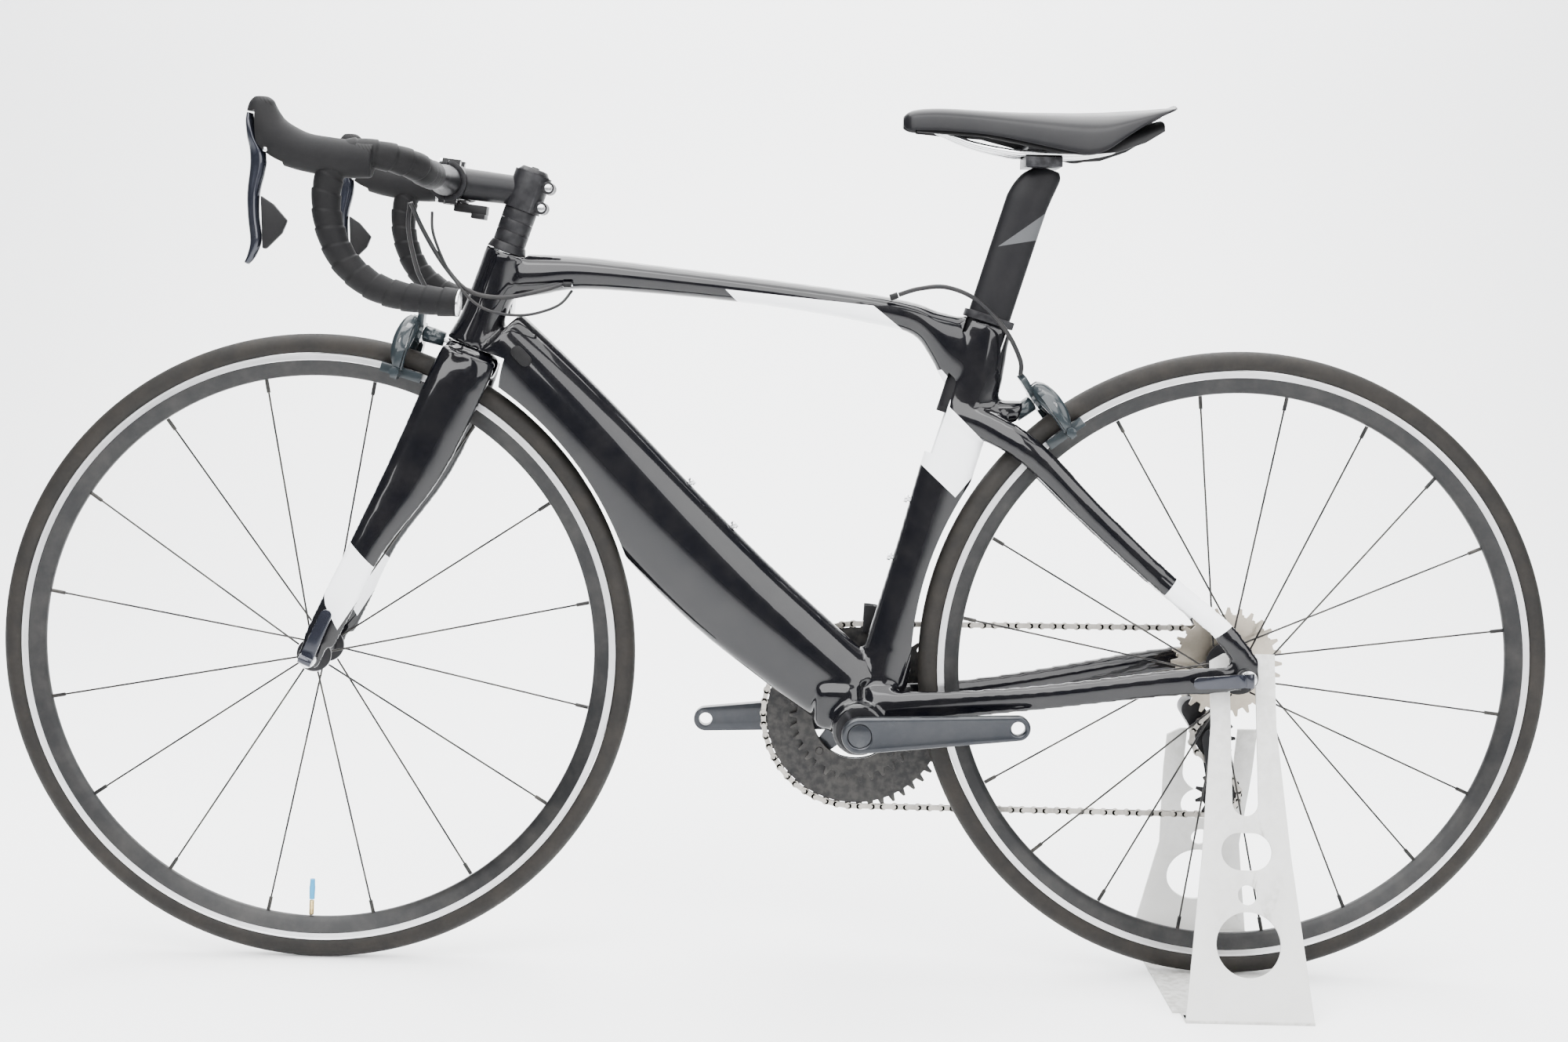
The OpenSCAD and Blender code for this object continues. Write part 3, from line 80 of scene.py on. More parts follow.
# ---------------------------------------------------------------- camera, floor and light
def camera_and_studio():
    cam = bpy.data.objects.new("studio_camera", bpy.data.cameras.new("studio_camera"))
    cam.data.lens, cam.data.sensor_width = 46.8, 36
    cam.matrix_world = (Matrix.Translation((-0.005, -2.155, 0.702)) @ Matrix.Rotation(-0.0045, 4, "Z")
                        @ Matrix.Rotation(math.pi / 2 - 0.1004, 4, "X") @ Matrix.Rotation(0.023, 4, "Z"))
    bpy.context.scene.collection.objects.link(cam)
    bpy.context.scene.camera = cam

    world = bpy.data.worlds.new("pale_room")
    world.use_nodes = True
    world.node_tree.nodes["Background"].inputs[0].default_value = (0.93, 0.96, 1.0, 1)
    world.node_tree.nodes["Background"].inputs[1].default_value = 0.34
    bpy.context.scene.world = world
    for name, place, size, power, aim in (
            ("key_light", (-0.9, -2.7, 2.7), 3.2, 300, (0, 0, 0.5)),
            ("fill_light", (2.0, -2.5, 1.7), 2.4, 125, (0, 0, 0.5)),
            ("top_light", (0, -0.3, 3.1), 3.4, 250, (0, 0, 0.4)),
            ("back_light", (0.4, 2.9, 2.9), 2.6, 120, (0, 0, 0.5)),
            ("wall_light", (0, 1.3, 4.0), 4.0, 420, (0, 3.2, 0.9))):
        light = bpy.data.lights.new(name, "AREA")
        light.shape, light.size, light.energy = "SQUARE", size, power
        lamp = bpy.data.objects.new(name, light)
        lamp.matrix_world = Matrix.Translation(place) @ (
            Vector(aim) - Vector(place)).to_track_quat("-Z", "Y").to_matrix().to_4x4()
        bpy.context.scene.collection.objects.link(lamp)

    # floor that sweeps up into a wall well behind the object
    bm = bmesh.new()
    edge = [bm.verts.new(p) for p in ((-9, -6, 0), (9, -6, 0))]
    rim = [bm.edges.new(edge)]
    turns = [math.radians(a) for a in range(0, 91, 6)]
    sweep = [(0, 1.3 * (math.sin(b) - math.sin(a)), 1.3 * (math.cos(a) - math.cos(b)))
             for a, b in zip(turns, turns[1:])]
    for step in [(0, 7.9, 0)] + sweep + [(0, 0, 5)]:
        out = bmesh.ops.extrude_edge_only(bm, edges=rim)["geom"]
        moved = [v for v in out if isinstance(v, bmesh.types.BMVert)]
        rim = [e for e in out if isinstance(e, bmesh.types.BMEdge)]
        bmesh.ops.translate(bm, verts=moved, vec=step)
    for f in bm.faces:
        f.smooth = True
    mesh = bpy.data.meshes.new("studio_floor")
    bm.to_mesh(mesh)
    bm.free()
    floor = bpy.data.objects.new("studio_floor", mesh)
    bpy.context.scene.collection.objects.link(floor)
    mat = bpy.data.materials.new("floor_paint")
    mat.use_nodes = True
    nodes, links = mat.node_tree.nodes, mat.node_tree.links
    coords, noise = nodes.new("ShaderNodeTexCoord"), nodes.new("ShaderNodeTexNoise")
    ramp = nodes.new("ShaderNodeValToRGB")
    noise.inputs["Scale"].default_value = 1.3
    ramp.color_ramp.elements[0].color = (0.86, 0.87, 0.88, 1)
    ramp.color_ramp.elements[1].color = (0.93, 0.93, 0.93, 1)
    links.new(coords.outputs["Object"], noise.inputs["Vector"])
    links.new(noise.outputs["Fac"], ramp.inputs["Fac"])
    links.new(ramp.outputs["Color"], nodes["Principled BSDF"].inputs["Base Color"])
    nodes["Principled BSDF"].inputs["Roughness"].default_value = 0.6
    mesh.materials.append(mat)


camera_and_studio()


# ---------------------------------------------------------------- shader groups
def group(name, ins, outs):
    tree = bpy.data.node_groups.new(name, "ShaderNodeTree")
    for label, kind, value in ins:
        item = tree.interface.new_socket(name=label, in_out="INPUT", socket_type=kind)
        if value is not None:
            item.default_value = value
    for label, kind in outs:
        tree.interface.new_socket(name=label, in_out="OUTPUT", socket_type=kind)
    return tree, tree.nodes.new("NodeGroupInput"), tree.nodes.new("NodeGroupOutput")


def maths(tree, operation, a, b, clamp=False):
    node = tree.nodes.new("ShaderNodeMath")
    node.operation, node.use_clamp = operation, clamp
    for socket, value in zip(node.inputs, (a, b)):
        if isinstance(value, (int, float)):
            socket.default_value = value
        elif value is not None:
            tree.links.new(value, socket)
    return node.outputs[0]


def remap(tree, value, low, high, to_low, to_high):
    node = tree.nodes.new("ShaderNodeMapRange")
    tree.links.new(value, node.inputs["Value"])
    for label, v in (("From Min", low), ("From Max", high), ("To Min", to_low), ("To Max", to_high)):
        if isinstance(v, (int, float)):
            node.inputs[label].default_value = v
        else:
            tree.links.new(v, node.inputs[label])
    return node.outputs["Result"]


def noise_of(tree, vector, scale, detail=4.0, rough=0.55):
    node = tree.nodes.new("ShaderNodeTexNoise")
    node.inputs["Detail"].default_value = detail
    node.inputs["Roughness"].default_value = rough
    tree.links.new(vector, node.inputs["Vector"])
    if isinstance(scale, (int, float)):
        node.inputs["Scale"].default_value = scale
    else:
        tree.links.new(scale, node.inputs["Scale"])
    return node.outputs["Fac"]


def blend_colours(tree, fac, a, b):
    node = tree.nodes.new("ShaderNodeMix")
    node.data_type = "RGBA"
    for socket, value in ((node.inputs[0], fac), (node.inputs[6], a), (node.inputs[7], b)):
        if isinstance(value, bpy.types.NodeSocket):
            tree.links.new(value, socket)
        else:
            socket.default_value = value
    return node.outputs[2]


def make_grain():
    """Fine unevenness of a surface: a roughness that wanders and a height for its bump."""
    tree, i, o = group("surface_grain", [("Vector", "NodeSocketVector", None), ("Scale", "NodeSocketFloat", 400.0),
                                         ("Smoothest", "NodeSocketFloat", 0.3), ("Roughest", "NodeSocketFloat", 0.5)],
                       [("Roughness", "NodeSocketFloat"), ("Height", "NodeSocketFloat")])
    fine = noise_of(tree, i.outputs["Vector"], i.outputs["Scale"])
    broad = noise_of(tree, i.outputs["Vector"], 14.0)
    both = maths(tree, "ADD", maths(tree, "MULTIPLY", fine, 0.5), maths(tree, "MULTIPLY", broad, 0.5))
    tree.links.new(remap(tree, both, 0.3, 0.7, i.outputs["Smoothest"], i.outputs["Roughest"]), o.inputs["Roughness"])
    tree.links.new(fine, o.inputs["Height"])
    return tree


def make_dust():
    """Dust and stains in patches over a base colour."""
    tree, i, o = group("dust_film", [("Vector", "NodeSocketVector", None), ("Base", "NodeSocketColor", None),
                                     ("Dust", "NodeSocketColor", None), ("Amount", "NodeSocketFloat", 0.2),
                                     ("Scale", "NodeSocketFloat", 30.0)],
                       [("Color", "NodeSocketColor"), ("Mask", "NodeSocketFloat")])
    patches = noise_of(tree, i.outputs["Vector"], i.outputs["Scale"], 8.0, 0.65)
    mask = maths(tree, "MULTIPLY", remap(tree, patches, 0.4, 0.72, 0.0, 1.0), i.outputs["Amount"], True)
    tree.links.new(blend_colours(tree, mask, i.outputs["Base"], i.outputs["Dust"]), o.inputs["Color"])
    tree.links.new(mask, o.inputs["Mask"])
    return tree


def make_wear_and_highlight():
    """Sharp edges turned to another colour: rubbed paint on the stand and bare metal on the chainring teeth, and on the
    other dark parts a lighter edge that is a painted edge highlight.
    """
    tree, i, o = group("edge_wear_and_painted_highlight", [("Vector", "NodeSocketVector", None), ("Base", "NodeSocketColor", None),
                                     ("Worn", "NodeSocketColor", None), ("Amount", "NodeSocketFloat", 0.3)],
                       [("Color", "NodeSocketColor"), ("Mask", "NodeSocketFloat")])
    geometry = tree.nodes.new("ShaderNodeNewGeometry")
    sharp = remap(tree, geometry.outputs["Pointiness"], 0.52, 0.6, 0.0, 1.0)
    broken = remap(tree, noise_of(tree, i.outputs["Vector"], 120.0), 0.4, 0.6, 0.2, 1.0)
    mask = maths(tree, "MULTIPLY", maths(tree, "MULTIPLY", sharp, broken), i.outputs["Amount"], True)
    tree.links.new(blend_colours(tree, mask, i.outputs["Base"], i.outputs["Worn"]), o.inputs["Color"])
    tree.links.new(mask, o.inputs["Mask"])
    return tree


def make_rings():
    """Distance from a wheel's axle and fine turned grooves round it."""
    tree, i, o = group("turned_rings", [("Vector", "NodeSocketVector", None), ("Axle", "NodeSocketVector", None),
                                        ("Grooves", "NodeSocketFloat", 9000.0)],
                       [("Radius", "NodeSocketFloat"), ("Height", "NodeSocketFloat")])
    off = tree.nodes.new("ShaderNodeVectorMath")
    off.operation = "SUBTRACT"
    flat = tree.nodes.new("ShaderNodeVectorMath")
    flat.operation = "MULTIPLY"
    flat.inputs[1].default_value = (1, 0, 1)
    length = tree.nodes.new("ShaderNodeVectorMath")
    length.operation = "LENGTH"
    tree.links.new(i.outputs["Vector"], off.inputs[0])
    tree.links.new(i.outputs["Axle"], off.inputs[1])
    tree.links.new(off.outputs[0], flat.inputs[0])
    tree.links.new(flat.outputs[0], length.inputs[0])
    tree.links.new(length.outputs["Value"], o.inputs["Radius"])
    tree.links.new(maths(tree, "SINE", maths(tree, "MULTIPLY", length.outputs["Value"], i.outputs["Grooves"]), None),
                   o.inputs["Height"])
    return tree


GRAIN, DUST, WEAR_AND_HIGHLIGHT, RINGS = make_grain(), make_dust(), make_wear_and_highlight(), make_rings()
PALE_DUST = (0.42, 0.39, 0.34, 1)


def place_group(tree, source, **values):
    node = tree.nodes.new("ShaderNodeGroup")
    node.node_tree = source
    for label, value in values.items():
        if isinstance(value, bpy.types.NodeSocket):
            tree.links.new(value, node.inputs[label])
        else:
            node.inputs[label].default_value = value
    return node


def finish(name, colour, rough=(0.3, 0.45), metal=0.0, coat=0.0, coat_rough=0.05, grain=500.0, bump=0.06, dust=0.12,
           dust_colour=PALE_DUST, worn_and_highlit_edge=None, wear_and_highlight=0.35, paint=None, rings=None, specular=0.22):
    """One finished material: grain, dust and an edge colour from the shared groups over a colour of its own; the edge
    colour is real rubbing on some parts and a painted edge highlight on others.
    """
    mat = bpy.data.materials.new(name)
    mat.use_nodes = True
    tree = mat.node_tree
    shader = tree.nodes["Principled BSDF"]
    shader.inputs["Metallic"].default_value = metal
    shader.inputs["Coat Weight"].default_value = coat
    shader.inputs["Coat Roughness"].default_value = coat_rough
    shader.inputs["IOR"].default_value = 1.5
    shader.inputs["Specular IOR Level"].default_value = specular
    place = tree.nodes.new("ShaderNodeTexCoord").outputs["Object"]
    base = tuple(colour) + (1,) if len(colour) == 3 else colour
    if paint:
        base = paint(tree, place, base)
    grained = place_group(tree, GRAIN, Vector=place, Scale=grain, Smoothest=rough[0], Roughest=rough[1])
    # Edge colour over the base: rubbed paint on the stand, bare metal on the chainring teeth, and on the other dark
    # parts a painted edge highlight.
    if worn_and_highlit_edge:
        base = place_group(tree, WEAR_AND_HIGHLIGHT, Vector=place, Base=base, Worn=tuple(worn_and_highlit_edge) + (1,), Amount=wear_and_highlight).outputs["Color"]
    dusty = place_group(tree, DUST, Vector=place, Base=base, Dust=dust_colour, Amount=dust)
    tree.links.new(dusty.outputs["Color"], shader.inputs["Base Color"])
    tree.links.new(grained.outputs["Roughness"], shader.inputs["Roughness"])
    relief = tree.nodes.new("ShaderNodeBump")
    relief.inputs["Strength"].default_value = bump
    relief.inputs["Distance"].default_value = 0.0004
    height = grained.outputs["Height"]
    if rings:
        turned = place_group(tree, RINGS, Vector=place, Axle=tuple(rings), Grooves=7000.0)
        height = maths(tree, "ADD", height, maths(tree, "MULTIPLY", turned.outputs["Height"], 0.6))
    tree.links.new(height, relief.inputs["Height"])
    tree.links.new(relief.outputs["Normal"], shader.inputs["Normal"])
    return mat


def side_of(tree, x, z, p, q):
    """1 on the left of the line from p to q, seen from the bicycle's left."""
    dx, dz = q[0] - p[0], q[1] - p[1]
    k = math.hypot(dx, dz)
    a = maths(tree, "MULTIPLY", z, dx / k)
    b = maths(tree, "MULTIPLY", x, dz / k)
    offset = (p[1] * dx - p[0] * dz) / k
    return maths(tree, "GREATER_THAN", maths(tree, "SUBTRACT", a, b), offset)


def white_panels(panels):
    """Paint that is white inside any of the convex outlines, given in millimetres, anticlockwise."""
    def paint(tree, place, base):
        split = tree.nodes.new("ShaderNodeSeparateXYZ")
        tree.links.new(place, split.inputs[0])
        x, z = split.outputs["X"], split.outputs["Z"]
        total = None
        for outline in panels:
            mask = None
            corners = [(a * MM, b * MM) for a, b in outline]
            for p, q in zip(corners, corners[1:] + corners[:1]):
                edge = side_of(tree, x, z, p, q)
                mask = edge if mask is None else maths(tree, "MULTIPLY", mask, edge)
            total = mask if total is None else maths(tree, "MAXIMUM", total, mask)
        return blend_colours(tree, total, base, (0.83, 0.84, 0.86, 1))
    return paint


FRAME_PANELS = [[(-36, 702), (60, 660), (127, 688), (93, 714.4), (-17, 724), (-62, 727.9)],
                [(136, 560), (184.7, 515.4), (225, 563), (175.9, 610.3), (136, 600)],
                [(136, 600), (175.9, 610.3), (179.3, 635.5), (166.3, 649.4), (140, 640)],
                [(402, 420), (446, 374), (480, 400), (430, 460)]]
FORK_PANELS = [[(-471, 392.4), (-457.9, 365.9), (-418, 427), (-447, 457.5), (-476, 425)]]

LACQUER = finish("black_lacquer", (0.0016, 0.0017, 0.0028), (0.12, 0.2), coat=0.6, coat_rough=0.03, grain=240,
                 bump=0.01,
                 dust=0.01, specular=0.1, paint=white_panels(FRAME_PANELS))
FORK_LACQUER = finish("black_lacquer_fork", (0.0016, 0.0017, 0.0028), (0.12, 0.2), coat=0.6, coat_rough=0.03, grain=240,
                      bump=0.01, dust=0.01, specular=0.1, paint=white_panels(FORK_PANELS))
# Its lighter sharp edges are a painted edge highlight.
ALLOY = finish("black_anodised_alloy", (0.005, 0.005, 0.006), (0.32, 0.46), grain=900, bump=0.1, dust=0.006,
               specular=0.16,
               worn_and_highlit_edge=(0.06, 0.06, 0.065))
STEEL = finish("polished_steel", (0.62, 0.63, 0.64), (0.16, 0.3), metal=1.0, grain=700, bump=0.04, dust=0.1)
CHAIN_STEEL = finish("chain_steel", (0.36, 0.34, 0.31), (0.28, 0.42), metal=1.0, grain=700, bump=0.08, dust=0.5,
                     dust_colour=(0.05, 0.045, 0.04, 1))
COG_STEEL = finish("nickel_cogs", (0.4, 0.36, 0.3), (0.26, 0.42), metal=1.0, grain=700, bump=0.08, dust=0.35,
                   dust_colour=(0.1, 0.08, 0.06, 1))
CABLE = finish("cable_cover", (0.005, 0.005, 0.006), (0.35, 0.5), grain=900, bump=0.1, dust=0.03)
RUBBER = finish("tyre_rubber", (0.007, 0.0063, 0.0056), (0.6, 0.75), grain=260, bump=0.25, dust=0.45,
                dust_colour=(0.022, 0.018, 0.014, 1))
TAPE = finish("bar_tape", (0.0045, 0.0045, 0.005), (0.5, 0.65), grain=900, bump=0.35, dust=0.006, specular=0.1)
# Its lighter sharp edges are a painted edge highlight.
LEVER = finish("lever_lacquer", (0.012, 0.014, 0.022), (0.16, 0.28), metal=0.6, coat=0.6, grain=800, bump=0.02,
               dust=0.02,
               worn_and_highlit_edge=(0.07, 0.07, 0.08))
PLASTIC = finish("black_plastic", (0.005, 0.005, 0.0055), (0.4, 0.55), grain=1100, bump=0.12, dust=0.006, specular=0.15)
# Its lighter sharp edges are a painted edge highlight.
CRANK = finish("crank_grey", (0.014, 0.016, 0.02), (0.26, 0.4), metal=0.55, coat=0.3, grain=600, bump=0.04, dust=0.02,
               worn_and_highlit_edge=(0.1, 0.105, 0.11))
BRAKE = finish("caliper_grey", (0.01, 0.015, 0.018), (0.25, 0.38), metal=0.1, coat=0.4, grain=600, bump=0.02,
               dust=0.008)
# Its lighter sharp edges are a painted edge highlight.
SADDLE = finish("saddle_leather", (0.004, 0.004, 0.005), (0.3, 0.42), coat=0.12, coat_rough=0.15, grain=1500, bump=0.16,
                dust=0.005, specular=0.12, worn_and_highlit_edge=(0.012, 0.012, 0.014))
WHITE_STEEL = finish("white_painted_steel", (0.52, 0.52, 0.51), (0.35, 0.55), grain=120, bump=0.08, dust=0.16,
                     dust_colour=(0.36, 0.34, 0.3, 1), worn_and_highlit_edge=(0.25, 0.24, 0.22), wear_and_highlight=0.7)
RIM_BLACK = finish("rim_black", (0.007, 0.0072, 0.0078), (0.3, 0.42), grain=700, bump=0.05, dust=0.03)
TRACK_FRONT = finish("brake_track_front", (0.56, 0.56, 0.57), (0.3, 0.42), metal=1.0, dust=0.25, rings=FRONT * MM,
                     dust_colour=(0.16, 0.15, 0.14, 1))
TRACK_REAR = finish("brake_track_rear", (0.56, 0.56, 0.57), (0.3, 0.42), metal=1.0, dust=0.25, rings=REAR * MM,
                    dust_colour=(0.16, 0.15, 0.14, 1))
SPOKE = finish("black_spokes", (0.006, 0.006, 0.0065), (0.3, 0.42), metal=0.4, dust=0.1)
BRASS = finish("valve_brass", (0.55, 0.42, 0.2), (0.25, 0.4), metal=1.0, dust=0.15)
BLUE_CAP = finish("valve_cap", (0.02, 0.22, 0.42), (0.3, 0.45), dust=0.05)
RING = finish("chainring_black", (0.008, 0.008, 0.009), (0.3, 0.42), metal=0.3, dust=0.03, worn_and_highlit_edge=(0.2, 0.19, 0.17),
              wear_and_highlight=0.2)


# ---------------------------------------------------------------- mesh tools
def keep(name, bm, body, material, stands_for=(), smooth=True):
    """Turns a bmesh into a piece that rides on a body."""
    mesh = bpy.data.meshes.new(name)
    bm.to_mesh(mesh)
    bm.free()
    for m in (material if isinstance(material, (list, tuple)) else [material]):
        mesh.materials.append(m)
    for p in mesh.polygons:
        p.use_smooth = smooth
    obj = bpy.data.objects.new(name, mesh)
    bpy.context.scene.collection.objects.link(obj)
    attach(obj, body)
    if stands_for:
        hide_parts(*stands_for)
    return obj


def sharpen(bm, degrees=32):
    for e in bm.edges:
        e.smooth = not (len(e.link_faces) == 2 and e.calc_face_angle(0) > math.radians(degrees))


def dressed(node, body, material, bevel=0.5, segments=2, degrees=32, extra=None):
    """A CAD piece with its flats joined up, its edges broken and its round faces smooth."""
    bm = bmesh.new()
    bm.from_mesh(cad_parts[node].data)
    bmesh.ops.remove_doubles(bm, verts=bm.verts, dist=2e-6)
    bmesh.ops.dissolve_limit(bm, angle_limit=math.radians(1.0), verts=bm.verts, edges=bm.edges)
    if bevel:
        edges = [e for e in bm.edges if len(e.link_faces) == 2 and e.calc_face_angle(0) > math.radians(degrees)]
        bmesh.ops.bevel(bm, geom=edges, offset=bevel * MM, affect="EDGES", segments=segments, profile=0.5, material=-1,
                        clamp_overlap=True)
    bmesh.ops.triangulate(bm, faces=[f for f in bm.faces if len(f.verts) > 4])
    sharpen(bm, 40)
    if extra:
        extra(bm)
    return keep(node + "_finished", bm, body, material, (node,))


def spline(points, k):
    """Points on a smooth curve through the given ones; each may carry extra numbers after x, y and z."""
    out = []
    for i in range(len(points) - 1):
        a, b = points[max(i - 1, 0)], points[i]
        c, d = points[i + 1], points[min(i + 2, len(points) - 1)]
        for j in range(k):
            t = j / k
            out.append([0.5 * (2 * q + (r - p) * t + (2 * p - 5 * q + 4 * r - s) * t * t
                               + (3 * q - p - 3 * r + s) * t ** 3)
                        for p, q, r, s in zip(a, b, c, d)])
    out.append(list(points[-1]))
    return out


def loft(bm, rings, sides=32):
    """Joins rings, each a matrix that places a circle of radius 1, into one closed form."""
    made, edges, before = [], [], set(bm.faces)
    for m in rings:
        verts = bmesh.ops.create_circle(bm, cap_ends=False, radius=1.0, segments=sides, matrix=m)["verts"]
        made.append(verts)
        edges.append(list({e for v in verts for e in v.link_edges}))
    for a, b in zip(edges, edges[1:]):
        bmesh.ops.bridge_loops(bm, edges=a + b)
    for ring in (made[0], made[-1]):
        bmesh.ops.contextual_create(bm, geom=ring)
    faces = [f for f in bm.faces if f not in before]
    bmesh.ops.recalc_face_normals(bm, faces=faces)
    return faces


def rows_to_rings(rows, k=4):
    """Rows of centre, lean in degrees from upright, depth and width, in millimetres."""
    flat = [[r[0][0], r[0][1], r[0][2], r[1], r[2], r[3]] for r in rows]
    return [Matrix.Translation(Vector(r[:3]) * MM) @ Matrix.Rotation(math.radians(r[3]), 4, "Y")
            @ Matrix.Diagonal((r[4] / 2 * MM, r[5] / 2 * MM, 1, 1)) for r in spline(flat, k)]


def path_rings(points, radius, up=(0, 0, 1)):
    """Rings square to a path of points in millimetres; radius may be a list."""
    rings, side = [], None
    for i, p in enumerate(points):
        t = (Vector(points[min(i + 1, len(points) - 1)]) - Vector(points[max(i - 1, 0)])).normalized()
        u = Vector(up) if side is None else side
        side = (u - t * u.dot(t)).normalized()
        r = (radius[i] if isinstance(radius, list) else radius) * MM
        basis = Matrix((side, t.cross(side), t)).transposed().to_4x4()
        rings.append(Matrix.Translation(Vector(p) * MM) @ basis @ Matrix.Diagonal((r, r, r, 1)))
    return rings


def baked(obj):
    """Applies an object's modifiers to its mesh."""
    graph = bpy.context.evaluated_depsgraph_get()
    mesh = bpy.data.meshes.new_from_object(obj.evaluated_get(graph))
    obj.modifiers.clear()
    obj.data = mesh
    return obj


def cylinder(bm, centre, axis, radius, length, sides=48, radius2=None):
    m = Matrix.Translation(Vector(centre) * MM) @ Vector(axis).to_track_quat("Z", "Y").to_matrix().to_4x4()
    return bmesh.ops.create_cone(bm, cap_ends=True, segments=sides, radius1=radius * MM,
                                 radius2=(radius if radius2 is None else radius2) * MM, depth=length * MM,
                                 matrix=m)["verts"]


def loose_object(name, bm):
    mesh = bpy.data.meshes.new(name)
    bm.to_mesh(mesh)
    bm.free()
    obj = bpy.data.objects.new(name, mesh)
    bpy.context.scene.collection.objects.link(obj)
    return obj


def moulded(name, bm, cutter, body, material, node, voxel=3.0, rounds=5):
    """Melts overlapping forms into one smooth shell, then cuts its openings."""
    obj = loose_object(name, bm)
    melt = obj.modifiers.new("melt", "REMESH")
    melt.mode, melt.voxel_size, melt.use_smooth_shade = "VOXEL", voxel * MM, True
    soft = obj.modifiers.new("soften", "SMOOTH")
    soft.factor, soft.iterations = 0.5, rounds
    baked(obj)
    knife = loose_object(name + "_knife", cutter)
    cut = obj.modifiers.new("openings", "BOOLEAN")
    cut.operation, cut.solver, cut.object = "DIFFERENCE", "EXACT", knife
    cut.use_self = True
    baked(obj)
    bpy.data.objects.remove(knife)
    obj.data.materials.clear()
    obj.data.materials.append(material)
    bm = bmesh.new()
    bm.from_mesh(obj.data)
    for f in bm.faces:
        f.smooth = True
        f.material_index = 0
    sharpen(bm, 50)
    bm.to_mesh(obj.data)
    bm.free()
    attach(obj, body)
    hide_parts(node)
    return obj


def lean_of(a, b):
    return math.degrees(math.atan2(b[0] - a[0], b[2] - a[2]))


def on_line(a, b, t, off):
    d = (b - a).normalized()
    return a + (b - a) * t + Vector((-d.z, 0, d.x)) * off


